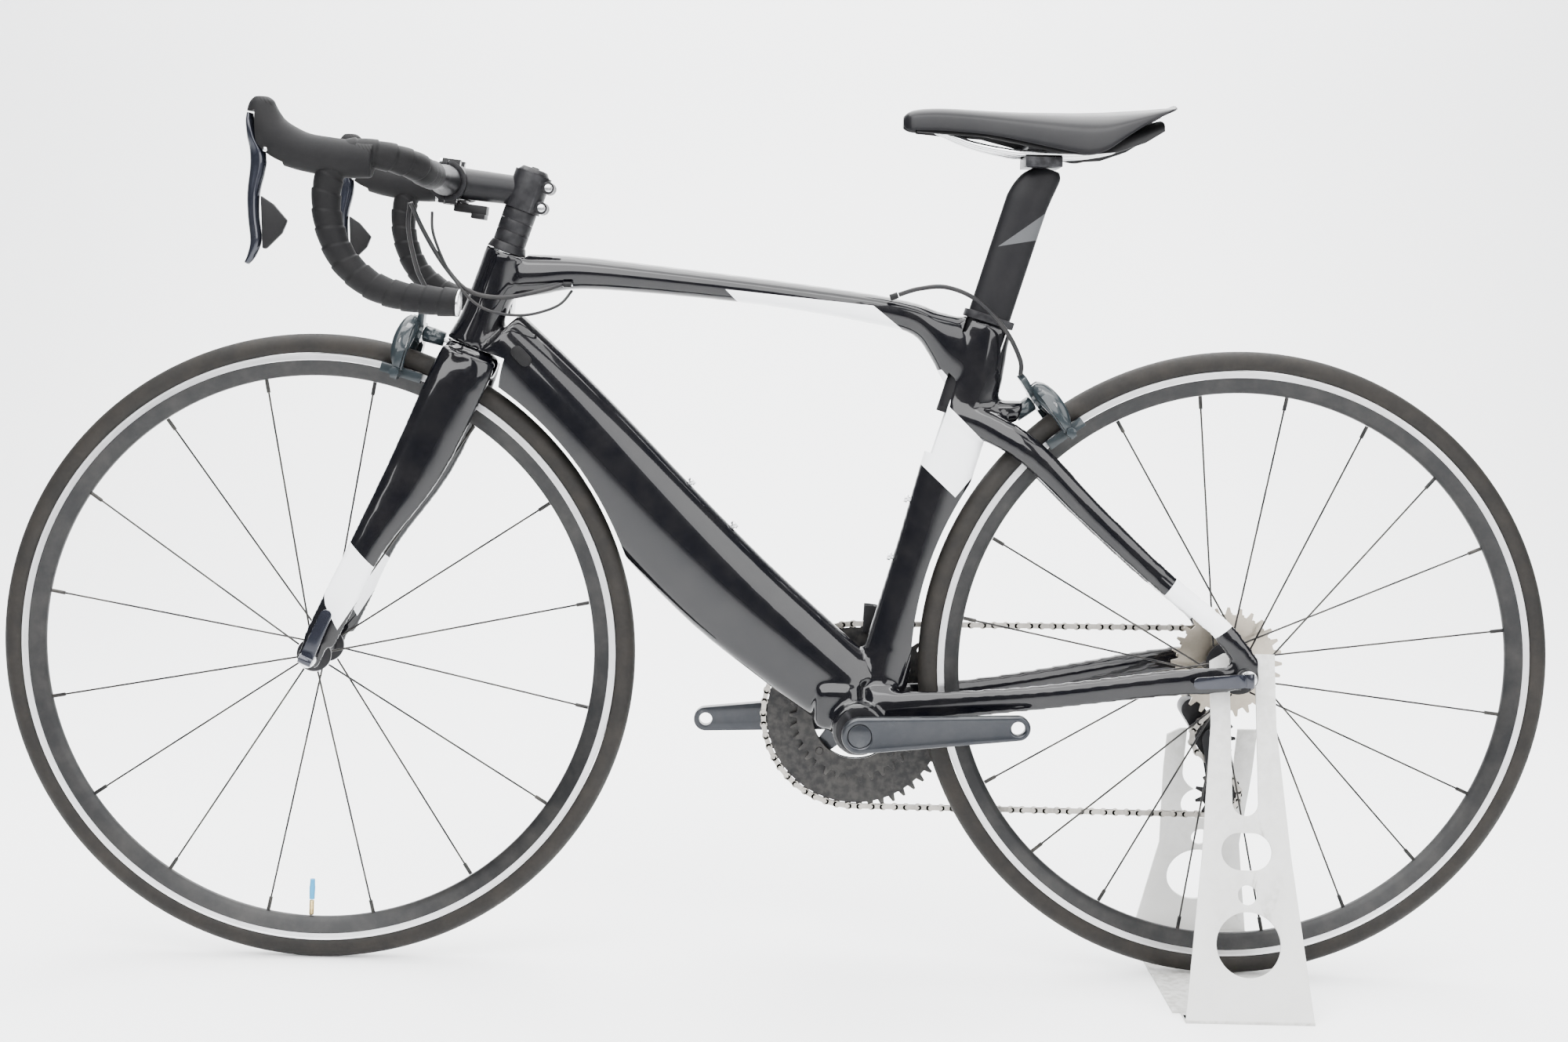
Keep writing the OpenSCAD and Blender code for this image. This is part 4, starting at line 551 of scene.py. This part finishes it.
# ---------------------------------------------------------------- frame
def build_frame():
    bm = bmesh.new()
    loft(bm, rows_to_rings([(steer_pt(361, -1), 19, 56, 50), (steer_pt(391, 0), 19, 46, 44),
                            (steer_pt(436, 1), 19, 45, 40),
                            (steer_pt(466, 2), 19, 47, 42)]), 40)
    a, b = steer_pt(442, 22), seat_pt(414, 6)
    lean = lean_of(a, b)
    loft(bm, rows_to_rings([(on_line(a, b, t, rise), lean, depth, 36 - 8 * t) for t, rise, depth in
                            ((0, 5, 46), (0.05, 10, 43), (0.14, 19, 34), (0.36, 26, 29), (0.57, 30, 28), (0.75, 30, 31),
                             (0.84, 27, 33), (0.885, 15, 48), (0.93, 0, 74), (1, -14, 92))]), 40)
    a, b = steer_pt(381, 22), BB + Vector((12, 0, 14))
    lean = lean_of(a, b)
    loft(bm, rows_to_rings([(on_line(a, b, t, rise), lean, 104 * share, 52) for t, rise, share in
                            ((0, -7, 0.78), (0.1, -9, 0.86), (0.25, -12, 0.93), (0.45, -18, 1), (0.65, -18, 1),
                             (0.82, -10, 0.93), (0.95, -2, 0.86))]), 48)
    loft(bm, rows_to_rings([(seat_pt(s, n), 16.5, depth, width) for s, n, depth, width in
                            ((20, 10, 60, 44), (90, 9, 56, 36), (200, 8, 56, 32), (300, 6, 58, 32), (380, 6, 56, 32),
                             (428, 0, 55, 31), (448, -2, 54, 30))]), 40)
    for side in (-1, 1):
        loft(bm, rows_to_rings([(seat_pt(345, -10, 9 * side), 100, 30, 16), (seat_pt(345, 30, 15 * side), 115, 32, 18),
                                (rear_pt(-226, 27 * side, 226), 134, 31, 17),
                                (rear_pt(-160, 33 * side, 163), 134, 27, 14),
                                (rear_pt(-90, 45 * side, 100), 134, 24, 12), (rear_pt(-28, 67 * side, 50), 140, 24, 9),
                                (rear_pt(0, 69 * side, 14), 165, 28, 8)]), 28)
        loft(bm, rows_to_rings([(BB + Vector((14, 24.5 * side, 16)), 90, 46, 18),
                                (BB + Vector((60, 26 * side, 22)), 90, 38, 14),
                                (BB + Vector((120, 33 * side, 30)), 86, 30, 11),
                                (BB + Vector((200, 48 * side, 42)), 84, 27, 13),
                                (rear_pt(-90, 64 * side, -10), 84, 28, 12), (rear_pt(-30, 70.5 * side, -3), 86, 30, 8),
                                (rear_pt(-6, 69 * side, 0), 90, 28, 8)]), 28)
        for x, z, r in ((0, 0, 14), (-8, 4, 13), (1, 12, 12)):
            cylinder(bm, rear_pt(x, 69 * side, z), (0, 1, 0), r, 7.6)
    cylinder(bm, BB, (0, 1, 0), 28, 80, 64)
    for centre, size in (((-22, 0, 22), (52, 62, 52)), ((24, 0, 26), (40, 56, 40))):
        made = bmesh.ops.create_cube(bm, size=1, matrix=Matrix.Translation((BB + Vector(centre)) * MM)
                                     @ Matrix.Diagonal([v * MM for v in size] + [1]))["verts"]
        bmesh.ops.bevel(bm, geom=list({e for v in made for e in v.link_edges}), offset=0.012, affect="EDGES",
                        segments=3,
                        profile=0.5, material=-1)
    loft(bm, rows_to_rings([(seat_pt(350, 10), 90, 34, 28), (Vector((252, 0, 607)), 108, 24, 24)], 1), 24)

    knife = bmesh.new()
    for s0, s1, r in ((300, 361.2, 46), (360, 370, 20.3), (360, 475, 18.3), (457.7, 480, 19), (466.6, 520, 24)):
        cylinder(knife, steer_pt((s0 + s1) / 2, 0), STEER_AXIS, r, s1 - s0, 64)
    cylinder(knife, FRONT, (0, 1, 0), 342, 140, 180)
    cylinder(knife, REAR, (0, 1, 0), 344, 37, 180)
    cylinder(knife, BB, (0, 1, 0), 20, 90, 48)
    cylinder(knife, REAR, (0, 1, 0), 4.8, 170, 32)
    for side in (-1, 1):
        bmesh.ops.create_cube(knife, size=1, matrix=Matrix.Translation(rear_pt(0, 69 * side, -15) * MM)
                              @ Matrix.Diagonal((9.6 * MM, 0.03, 0.03, 1)))
    bmesh.ops.create_cube(knife, size=1, matrix=Matrix.Translation(seat_pt(400, -2) * MM)
                                 @ Matrix.Rotation(math.radians(16.5), 4, "Y")
                                  @ Matrix.Diagonal((0.046, 0.022, 0.2, 1)))
    return moulded("frame_shell", bm, knife, "frame", LACQUER, "frame")


def build_fork():
    bm = bmesh.new()
    for side in (-1, 1):
        loft(bm, rows_to_rings([(steer_pt(s, n, y * side), 19, depth, width) for s, n, y, depth, width in
                                ((353, 2, 20, 58, 28), (320, 0, 27, 62, 22), (220.7, -10, 32, 57, 19),
                                 (128.2, -29, 41, 37, 15), (60, -37, 48, 36, 12), (16, -42, 53.5, 34, 7.6))]), 36)
        cylinder(bm, FRONT + Vector((0, 53.5 * side, 0)), (0, 1, 0), 12.5, 7.6)
        cylinder(bm, FRONT + Vector((4, 53.5 * side, 9)), (0, 1, 0), 12.5, 7.6)
    loft(bm, rows_to_rings([(steer_pt(335, 1), 19, 60, 72), (steer_pt(348, 2), 19, 60, 62),
                            (steer_pt(357, 2), 19, 58, 52)], 3), 36)
    cylinder(bm, steer_pt(357, 0), STEER_AXIS, 25, 6.4, 64)
    knife = bmesh.new()
    cylinder(knife, FRONT, (0, 1, 0), 344, 37, 180)
    cylinder(knife, FRONT, (0, 1, 0), 4.8, 170, 32)
    for side in (-1, 1):
        bmesh.ops.create_cube(knife, size=1, matrix=Matrix.Translation((FRONT + Vector((0, 54 * side, -15))) * MM)
                              @ Matrix.Diagonal((9.6 * MM, 0.03, 0.03, 1)))
    moulded("fork_blades", bm, knife, "steering", FORK_LACQUER, "fork", 2.6)
    bm = bmesh.new()
    cylinder(bm, steer_pt(456, 0), STEER_AXIS, 14.2, 190, 48)
    keep("steerer_tube", bm, "steering", ALLOY)


# ---------------------------------------------------------------- wheels
def spun(bm, profile, centre, steps, closed=True):
    """Turns a profile of (radius, sideways) points about a wheel's axle."""
    verts = [bm.verts.new((Vector((centre.x, y, centre.z + r))) * MM) for r, y in profile]
    edges = [bm.edges.new((verts[i], verts[(i + 1) % len(verts)]))
             for i in range(len(verts) if closed else len(verts) - 1)]
    bmesh.ops.spin(bm, geom=verts + edges, cent=centre * MM, axis=(0, 1, 0), angle=2 * math.pi, steps=steps,
                   use_merge=True)
    bmesh.ops.recalc_face_normals(bm, faces=bm.faces)


def build_wheel(name, centre, body, track):
    bm = bmesh.new()
    outline = [(TYRE_CENTRE_R + TYRE_SECTION_R * math.cos(math.radians(a)), TYRE_SECTION_R * math.sin(math.radians(a)))
               for a in range(-126, 127, 9)]
    outline[14] = (TYRE_R, 0)
    spun(bm, outline + [(316.2, 8), (316.2, -8)], centre, 180)
    keep(name + "_tyre_finished", bm, body, RUBBER, (name + "_tyre",))
    bm = bmesh.new()
    half = [(315.6, 10.25), (314.4, 10.25), (314.0, 10.0), (309.0, 9.9), (308.6, 10.2), (307.8, 10.2), (307.2, 9.8),
            (298, 7.0), (294.6, 4.2), (292.6, 2.6), (292.0, 0.9)]
    profile = [(r, -y) for r, y in half] + list(reversed(half))
    spun(bm, profile, centre, 180)
    for f in bm.faces:
        mid = f.calc_center_median()
        r = math.hypot(mid.x - centre.x * MM, mid.z - centre.z * MM)
        f.material_index = 1 if 0.3085 < r < 0.3157 and abs(mid.y) > 0.0095 else 0
    sharpen(bm, 28)
    keep(name + "_rim_finished", bm, body, [RIM_BLACK, track], (name + "_rim",))
    paint_node(name + "_spokes", SPOKE)
    dressed(name + "_hub", body, ALLOY, 0.4)


def paint_node(node, material):
    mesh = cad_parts[node].data
    mesh.materials.clear()
    mesh.materials.append(material)


def build_valves():
    for name, centre in (("front", FRONT), ("rear", REAR)):
        down = Vector((math.sin(VALVE_ANGLE), 0, math.cos(VALVE_ANGLE)))
        bm = bmesh.new()
        cylinder(bm, centre + down * 283, down, 2.3, 16, 24)
        for k in range(12):
            cylinder(bm, centre + down * (276 + k * 1.2), down, 2.6, 0.5, 18)
        keep(name + "_valve_stem", bm, name + "_wheel", BRASS, (name + "_valve",))
        bm = bmesh.new()
        cylinder(bm, centre + down * 266.5, down, 3.2, 14, 12, 2.9)
        cylinder(bm, centre + down * 255.5, down, 2.6, 8, 12, 3.0)
        sharpen(bm, 30)
        keep(name + "_valve_cap", bm, name + "_wheel", BLUE_CAP)


# ---------------------------------------------------------------- bars
BAR_POINTS = [(0, 0, 0), (0, 40, 0), (0, 80, 0), (-1, 140, 0), (-8, 168, 5), (-30, 190, 11), (-58, 199, 13),
              (-75, 200, 3),
              (-84, 200, -22), (-82, 200, -54), (-69, 200, -86), (-46, 200, -108), (-20, 200, -119), (12, 200, -124),
              (40, 200, -126)]


def half_bar(side, k=12):
    return [Vector((p[0], p[1] * side, p[2])) + BAR for p in spline([[float(v) for v in q] for q in BAR_POINTS], k)]


def build_bars():
    left, right = half_bar(-1, 8), half_bar(1, 8)
    path = list(reversed(left)) + right[1:]
    bm = bmesh.new()
    loft(bm, path_rings(path, [15.9 - 4 * min(1.0, max(0.0, (abs(p.y) - 34) / 30)) if abs(p.y) < 80 else BAR_R
                               for p in path]), 32)
    keep("handlebar_tube", bm, "steering", ALLOY, ("handlebar",))
    for side, label in ((-1, "left"), (1, "right")):
        points = half_bar(side, 24)
        start = next(i for i, p in enumerate(points) if abs(p.y) > 108)
        points = points[start:]
        lengths, total = [0.0], 0.0
        for a, b in zip(points, points[1:]):
            total += (b - a).length
            lengths.append(total)
        rings, radii = [], []
        turn = 17.0
        for i, (p, s) in enumerate(zip(points, lengths)):
            phase = (s / turn) % 1.0
            radii.append(13.0 + 1.5 * (1 - phase) ** 0.6)
            rings.append(p)
        placed = path_rings(rings, radii)
        skew = Matrix.Rotation(math.radians(10), 4, "Y")
        bm = bmesh.new()
        loft(bm, [m @ skew if 0 < i < len(placed) - 1 else m for i, m in enumerate(placed)], 36)
        keep("bar_tape_%s_wound" % label, bm, "steering", TAPE, ("bar_tape_" + label,))
        end, back = points[-1], points[-2]
        t = (end - back).normalized()
        bm = bmesh.new()
        cylinder(bm, end + t * 1.4, t, 13.2, 3, 40)
        bmesh.ops.bevel(bm, geom=[e for e in bm.edges if e.calc_face_angle(0) > 1], offset=0.0008, affect="EDGES",
                        segments=2,
                        profile=0.5, material=-1)
        keep("bar_plug_" + label, bm, "steering", STEEL)


HOOD_ROWS = [((-40, 0, 6), -84, 33, 32), ((-62, 0, 7), -84, 36, 35), ((-82, 0, 9), -76, 37, 36),
             ((-106, 0, 13), -68, 37, 35),
             ((-124, 0, 20), -60, 39, 34), ((-136, 0, 29), -46, 38, 33), ((-142, 0, 40), -28, 34, 31),
             ((-145, 0, 51), -14, 29, 28),
             ((-145, 0, 59), -5, 23, 23), ((-145, 0, 63.5), 0, 13, 14)]
LEVER_ROWS = [((-18, 0, 35), 190, 6, 16), ((-17.5, 0, 26), 190, 9, 22), ((-15, 0, 12), 192, 12, 22),
              ((-11, 0, -1), 195, 16, 17),
              ((-11, 0, -16), 192, 15, 15), ((-15, 0, -40), 182, 12, 16), ((-15, 0, -62), 178, 11, 15),
              ((-13, 0, -84), 176, 11, 14),
              ((-17, 0, -98), 200, 8, 12), ((-22, 0, -106), 205, 5, 8)]


def painted_groove_shade(tree, place, base):
    """Painted shade: dark lines across the top of the hoods where their grooves would be in shade."""
    split = tree.nodes.new("ShaderNodeSeparateXYZ")
    tree.links.new(place, split.inputs[0])
    run = maths(tree, "ADD", maths(tree, "MULTIPLY", split.outputs["X"], 2100.0),
                maths(tree, "MULTIPLY", split.outputs["Z"], 1500.0))
    groove_shade_stripes = remap(tree, maths(tree, "SINE", run, None), 0.2, 0.9, 0.0, 1.0)
    top = maths(tree, "GREATER_THAN", maths(tree, "ADD", split.outputs["Z"],
                                            maths(tree, "MULTIPLY", split.outputs["X"], 0.45)),
                0.6685)
    # The near-black stripe colour is painted shade for the grooves, not a colour of the rubber.
    return blend_colours(tree, maths(tree, "MULTIPLY", groove_shade_stripes, top), base, (0.001, 0.001, 0.001, 1))


# Hood rubber with painted shade in its grooves.
HOOD_GROOVE_SHADED = finish("hood_rubber_painted_groove_shade", (0.0065, 0.0065, 0.007), (0.55, 0.7), grain=1400, bump=0.2, dust=0.006,
                     paint=painted_groove_shade, specular=0.1)


def build_controls():
    for side, label in ((-1, "left"), (1, "right")):
        shift = Vector((0, HALF_BAR * side, 0))
        bm = bmesh.new()
        loft(bm, rows_to_rings([(BAR + Vector(r[0]) + shift, r[1], r[2], r[3]) for r in HOOD_ROWS], 5), 36)
        knife = bmesh.new()
        bmesh.ops.create_cube(knife, size=1,
                              matrix=Matrix.Translation((LEVER_PIVOT + shift + Vector((-11, 0, -30))) * MM)
                              @ Matrix.Diagonal((0.05, 0.0185, 0.072, 1)))
        bmesh.ops.create_cube(knife, size=1, matrix=Matrix.Translation((LEVER_PIVOT + shift + Vector((-26, 0, 9))) * MM)
                              @ Matrix.Diagonal((0.03, 0.06, 0.056, 1)))
        moulded("hood_%s_moulded" % label, bm, knife, "steering", HOOD_GROOVE_SHADED, "hood_" + label, 1.6, 3)
        bm = bmesh.new()
        loft(bm, rows_to_rings([(LEVER_PIVOT + Vector(r[0]) + shift, r[1], r[2], r[3]) for r in LEVER_ROWS], 4), 24)
        keep("lever_%s_blade" % label, bm, "brake_lever_" + label, LEVER, ("lever_" + label,))
        bm = bmesh.new()
        for y in (-1, 1):
            cylinder(bm, LEVER_PIVOT + shift + Vector((0, 17.6 * y, 0)), (0, 1, 0), 2.2, 1.6, 24)
        keep("lever_pin_" + label, bm, "steering", STEEL)
        dressed("shift_paddles_" + label, "paddles_" + label, PLASTIC, 1.4, 3)


# ---------------------------------------------------------------- seat
RAIL_Z = 874.8
SADDLE_ROWS = [(0, 0.12, 36, 24), (0.02, 0.2, 41, 21), (0.06, 0.25, 44, 20), (0.15, 0.28, 45.5, 20),
               (0.3, 0.34, 44, 17),
               (0.42, 0.47, 43, 11), (0.54, 0.66, 43, 3), (0.62, 0.79, 43, -2), (0.68, 0.87, 43.5, -5),
               (0.74, 0.94, 44, 0),
               (0.8, 0.98, 45, 12), (0.88, 1, 46, 27), (0.95, 0.97, 47.5, 37), (0.985, 0.86, 48, 42), (1, 0.7, 48, 45)]


def build_seat():
    bm = bmesh.new()
    rings = []
    for share, wide, top, edge in spline([list(map(float, r)) for r in SADDLE_ROWS], 3):
        ring = bmesh.ops.create_circle(bm, cap_ends=False, radius=1.0, segments=40)["verts"]
        for v in ring:
            across, up = v.co.x, v.co.y
            rise = (top - edge) * up ** 0.6 if up > 0 else 7 * (-up) ** 0.8
            v.co = Vector((119.5 + 276 * share, 69 * wide * math.copysign(abs(across) ** 0.8, across),
                           RAIL_Z + edge + rise)) * MM
        rings.append(ring)
    loops = [list({e for v in ring for e in v.link_edges}) for ring in rings]
    for a, b in zip(loops, loops[1:]):
        bmesh.ops.bridge_loops(bm, edges=a + b)
    for ring in (rings[0], rings[-1]):
        bmesh.ops.contextual_create(bm, geom=ring)
    bmesh.ops.recalc_face_normals(bm, faces=bm.faces)
    cover = keep("saddle_cover_sewn", bm, "seat", SADDLE, ("saddle_cover",))
    smooth = cover.modifiers.new("rounding", "SUBSURF")
    smooth.levels = smooth.render_levels = 1
    baked(cover)
    dressed("saddle_shell", "seat", PLASTIC, 0, degrees=60)
    dressed("saddle_rails", "seat", STEEL, 0, degrees=80)
    dressed("saddle_clamp", "seat", ALLOY, 1.2, 3)
    bm = bmesh.new()
    loft(bm, rows_to_rings([(seat_pt(s, n), 16.5, depth, width) for s, n, depth, width in
                            ((345, -2, 45, 21), (420, -2, 45, 21), (560, -2, 45, 21), (586, -1, 45, 21),
                             (604, 3, 41, 20),
                             (613, 7, 34, 18), (619, 9, 24, 14))], 5), 40)

    def grey_band(tree, place, base):
        split = tree.nodes.new("ShaderNodeSeparateXYZ")
        tree.links.new(place, split.inputs[0])
        mask = None
        corners = [(v[0] * MM, v[1] * MM) for v in ((205, 776), (300, 793), (300, 836), (278, 820))]
        for p, q in zip(corners, corners[1:] + corners[:1]):
            edge = side_of(tree, split.outputs["X"], split.outputs["Z"], p, q)
            mask = edge if mask is None else maths(tree, "MULTIPLY", mask, edge)
        return blend_colours(tree, mask, base, (0.06, 0.062, 0.065, 1))

    post = finish("seatpost_carbon", (0.005, 0.005, 0.006), (0.4, 0.5), grain=1200, bump=0.06, dust=0.005,
                  paint=grey_band, specular=0.12)
    keep("seatpost_blade", bm, "seat", post, ("seatpost",))


# ---------------------------------------------------------------- cables
def cable(name, points, radius, body, material, stands_for=(), sides=14):
    bm = bmesh.new()
    loft(bm, path_rings([Vector(p) for p in spline([list(map(float, q)) for q in points], 8)], radius), sides)
    return keep(name, bm, body, material, stands_for)


def build_cables():
    out = Vector((110, -16, 723))
    cable("rear_brake_cable_outer", [out + Vector((9.2, -1.2, 3.4)), (140, -23, 733), (168, -28, 735), (200, -30, 722),
                                     (230, -29, 692), (246.4, -27.5, 662), (247.4, -27, 646.2)], 2.4, "frame", CABLE,
          ("rear_brake_cable",))
    main = cable("bar_cable_outer", [(-231.9, -17.9, 729), (-252, -27, 722), (-290, -42, 714), (-325, -48, 720),
                                     (-350, -46, 745), (-372, -44, 780), (-384, -52, 808)], 2.4, "frame", CABLE,
                                     ("bar_cables",))
    wire = cable("bar_wire_outer", [(-222, -16.2, 722.5), (-236, -34, 706), (-272, -46, 696), (-312, -52, 704),
                                    (-342, -50, 735), (-362, -40, 775), (-366, -28, 800)], 1.5, "frame", CABLE)
    for obj in (main, wire):
        world = obj.matrix_world.copy()
        obj.parent = None
        obj.matrix_world = world
        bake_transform(obj)
    cable("front_brake_cable_outer", [(-386, -44, 808), (-388, -40, 780), (-381, -31, 742), (-373.2, -27, 722.5),
                                      (-373.6, -27, 708.5)], 2.4, "steering", CABLE, ("front_brake_cable",))
    bm = bmesh.new()
    loft(bm, path_rings([Vector((-221, -18.2, 729)), Vector((-224, -18.2, 729)), Vector((-231, -18.2, 729))],
                        [1.6, 2.8, 2.9]), 24)
    keep("top_tube_ferrule", bm, "frame", STEEL)


# ---------------------------------------------------------------- drive
def pitch_r(teeth):
    return 12.7 / 2 / math.sin(math.pi / teeth)


GUIDE, TENSION = (479.0, 252.3), (489.0, 189.3)
CHAIN_WHEELS = [((REAR.x, REAR.z), pitch_r(17), 1), ((BB.x, BB.z), pitch_r(50), 1), (TENSION, pitch_r(11), 1),
                (GUIDE, pitch_r(11), -1)]


def chain_line():
    """Points round the chain's four wheels, close together."""
    def angle(a, b):
        dx, dz = b[0][0] - a[0][0], b[0][1] - a[0][1]
        return math.atan2(dz, dx) - math.asin((b[2] * b[1] - a[2] * a[1]) / math.hypot(dx, dz))
    points = []
    for i, wheel in enumerate(CHAIN_WHEELS):
        turn = wheel[2]
        a = angle(CHAIN_WHEELS[i - 1], wheel) - math.pi / 2 * turn
        b = angle(wheel, CHAIN_WHEELS[(i + 1) % 4]) - math.pi / 2 * turn
        while turn * (b - a) < 0:
            b += 2 * math.pi * turn
        while turn * (b - a) >= 2 * math.pi:
            b -= 2 * math.pi * turn
        n = max(2, int(abs(b - a) / 0.06))
        points += [Vector((wheel[0][0] + wheel[1] * math.cos(a + (b - a) * k / n), CHAIN_Y,
                           wheel[0][1] + wheel[1] * math.sin(a + (b - a) * k / n))) for k in range(n + 1)]
    return points


def build_chain():
    points = chain_line()
    loop = points + [points[0]]
    lengths = [0.0]
    for a, b in zip(loop, loop[1:]):
        lengths.append(lengths[-1] + (b - a).length)
    links = 2 * round(lengths[-1] / 25.4)
    pitch = lengths[-1] / links

    def at(s):
        s %= lengths[-1]
        i = next(i for i in range(len(loop) - 1) if lengths[i + 1] >= s)
        t = (s - lengths[i]) / max(1e-9, lengths[i + 1] - lengths[i])
        return loop[i].lerp(loop[i + 1], t)

    bm = bmesh.new()
    for i in range(links):
        a, b = at(i * pitch), at((i + 1) * pitch)
        d = (b - a).normalized()
        basis = Matrix((d, Vector((0, 1, 0)), d.cross(Vector((0, 1, 0))))).transposed().to_4x4()
        outer = i % 2 == 0
        for y in (-1, 1):
            centre = Matrix.Translation(((a + b) / 2 + Vector((0, y * (2.35 if outer else 1.55), 0))) * MM) @ basis
            bmesh.ops.create_cube(bm, size=1, matrix=centre @ Matrix.Diagonal((0.0127, 0.0008, 0.0052, 1)))
            for p in (a, b):
                cylinder(bm, p + Vector((0, y * (2.35 if outer else 1.55), 0)), (0, 1, 0), 3.9, 0.8, 10)
        cylinder(bm, a, (0, 1, 0), 3.6, 2.3, 10)
        cylinder(bm, a, (0, 1, 0), 1.7, 6.2, 8)
    sharpen(bm, 40)
    keep("chain_links", bm, "frame", CHAIN_STEEL, ("chain",))


def build_drive():
    build_chain()
    dressed("cassette", "cassette", COG_STEEL, 0.25, 1)
    dressed("chainring_outer", "crankset", RING, 0.3, 1)
    dressed("chainring_inner", "crankset", RING, 0.3, 1)
    dressed("crank_left", "crankset", CRANK, 3.6, 4)
    dressed("crank_right", "crankset", CRANK, 3.0, 3)
    for node, body in (("rd_body", "frame"), ("rd_cage", "derailleur_cage"), ("front_derailleur", "frame"),
                       ("derailleur_hanger", "frame"), ("bb_cups", "frame")):
        dressed(node, body, ALLOY, 0.9, 3)
    for node in ("guide_pulley", "tension_pulley"):
        dressed(node, node, PLASTIC, 0.3, 1)


def build_callipers():
    """Broad forged arms over the plain ones, and the bolt through both."""
    for place, centre, lean, parent in (("front", FRONT, FRONT_LEAN, "steering"), ("rear", REAR, REAR_LEAN, "frame")):
        turn = Matrix.Rotation(math.radians(lean), 4, "Y")

        def at(t, y, r):
            return centre + (turn @ Vector((t, y, r)))
        out = -1 if place == "front" else 1
        bm = bmesh.new()
        loft(bm, path_rings([at(-out * t, 0, 356) for t in (8, 9.5, 20, 31)], [6.5, 8.5, 8.5, 7.5]), 28)
        keep(place + "_calliper_pivot", bm, parent, BRAKE)
        for side, label in ((-1, "left"), (1, "right")):
            bm = bmesh.new()
            loft(bm, rows_to_rings([(at(out * t, y * side, r), lean, depth, width) for t, y, r, depth, width in
                                    ((4, 9, 371, 9, 8), (5, 13, 366, 16, 10), (6, 19, 356, 20, 11),
                                     (7, 24, 344, 20, 10),
                                     (7, 26.5, 331, 17, 9), (5, 26, 320, 14, 8), (3, 24, 313, 10, 7))], 3), 20)
            keep("%s_calliper_%s" % (place, label), bm, "%s_arm_%s" % (place, label), BRAKE)
            bm = bmesh.new()
            for t, y, r, size in ((6, 29.8, 343, 3.6), (4, 30.6, 323, 2.4)):
                cylinder(bm, at(out * t, y * side, r), (0, 1, 0), size, 2.2, 24)
            sharpen(bm)
            keep("%s_calliper_bolts_%s" % (place, label), bm, "%s_arm_%s" % (place, label), STEEL)


def build_rest():
    for place in ("front", "rear"):
        for side in ("left", "right"):
            dressed("%s_brake_arm_%s" % (place, side), "%s_arm_%s" % (place, side), BRAKE, 0.9, 3)
    for node, body, material, bevel in (
            ("stand", "stand", WHITE_STEEL, 0.5), ("stem", "steering", ALLOY, 1.0),
            ("stem_faceplate", "steering", ALLOY, 0.8),
            ("headset_stack", "steering", ALLOY, 0.6), ("steering_bolts", "steering", STEEL, 0.3),
            ("junction_box", "steering", PLASTIC, 0.9), ("front_axle", "steering", STEEL, 0.7),
            ("rear_axle", "frame", STEEL, 0.7), ("frame_bolts", "frame", STEEL, 0.4),
            ("seat_clamp", "frame", ALLOY, 0.7),
            ("headset_bearings", "frame", STEEL, 0),
            ("front_qr_lever", "front_quick_release", LEVER, 1.2), ("rear_qr_lever", "rear_quick_release", LEVER, 1.2)):
        dressed(node, body, material, bevel, 2)


def lower_rear_port(bm):
    bmesh.ops.translate(bm, verts=[v for v in bm.verts if v.co.x > 0.05], vec=(-0.002, 0, -0.007))


dressed("cable_ports", "frame", PLASTIC, 0.5, extra=lower_rear_port)
build_frame()
build_fork()
build_wheel("front", FRONT, "front_wheel", TRACK_FRONT)
build_wheel("rear", REAR, "rear_wheel", TRACK_REAR)
build_valves()
build_bars()
build_controls()
build_seat()
build_cables()
build_drive()
build_callipers()
build_rest()
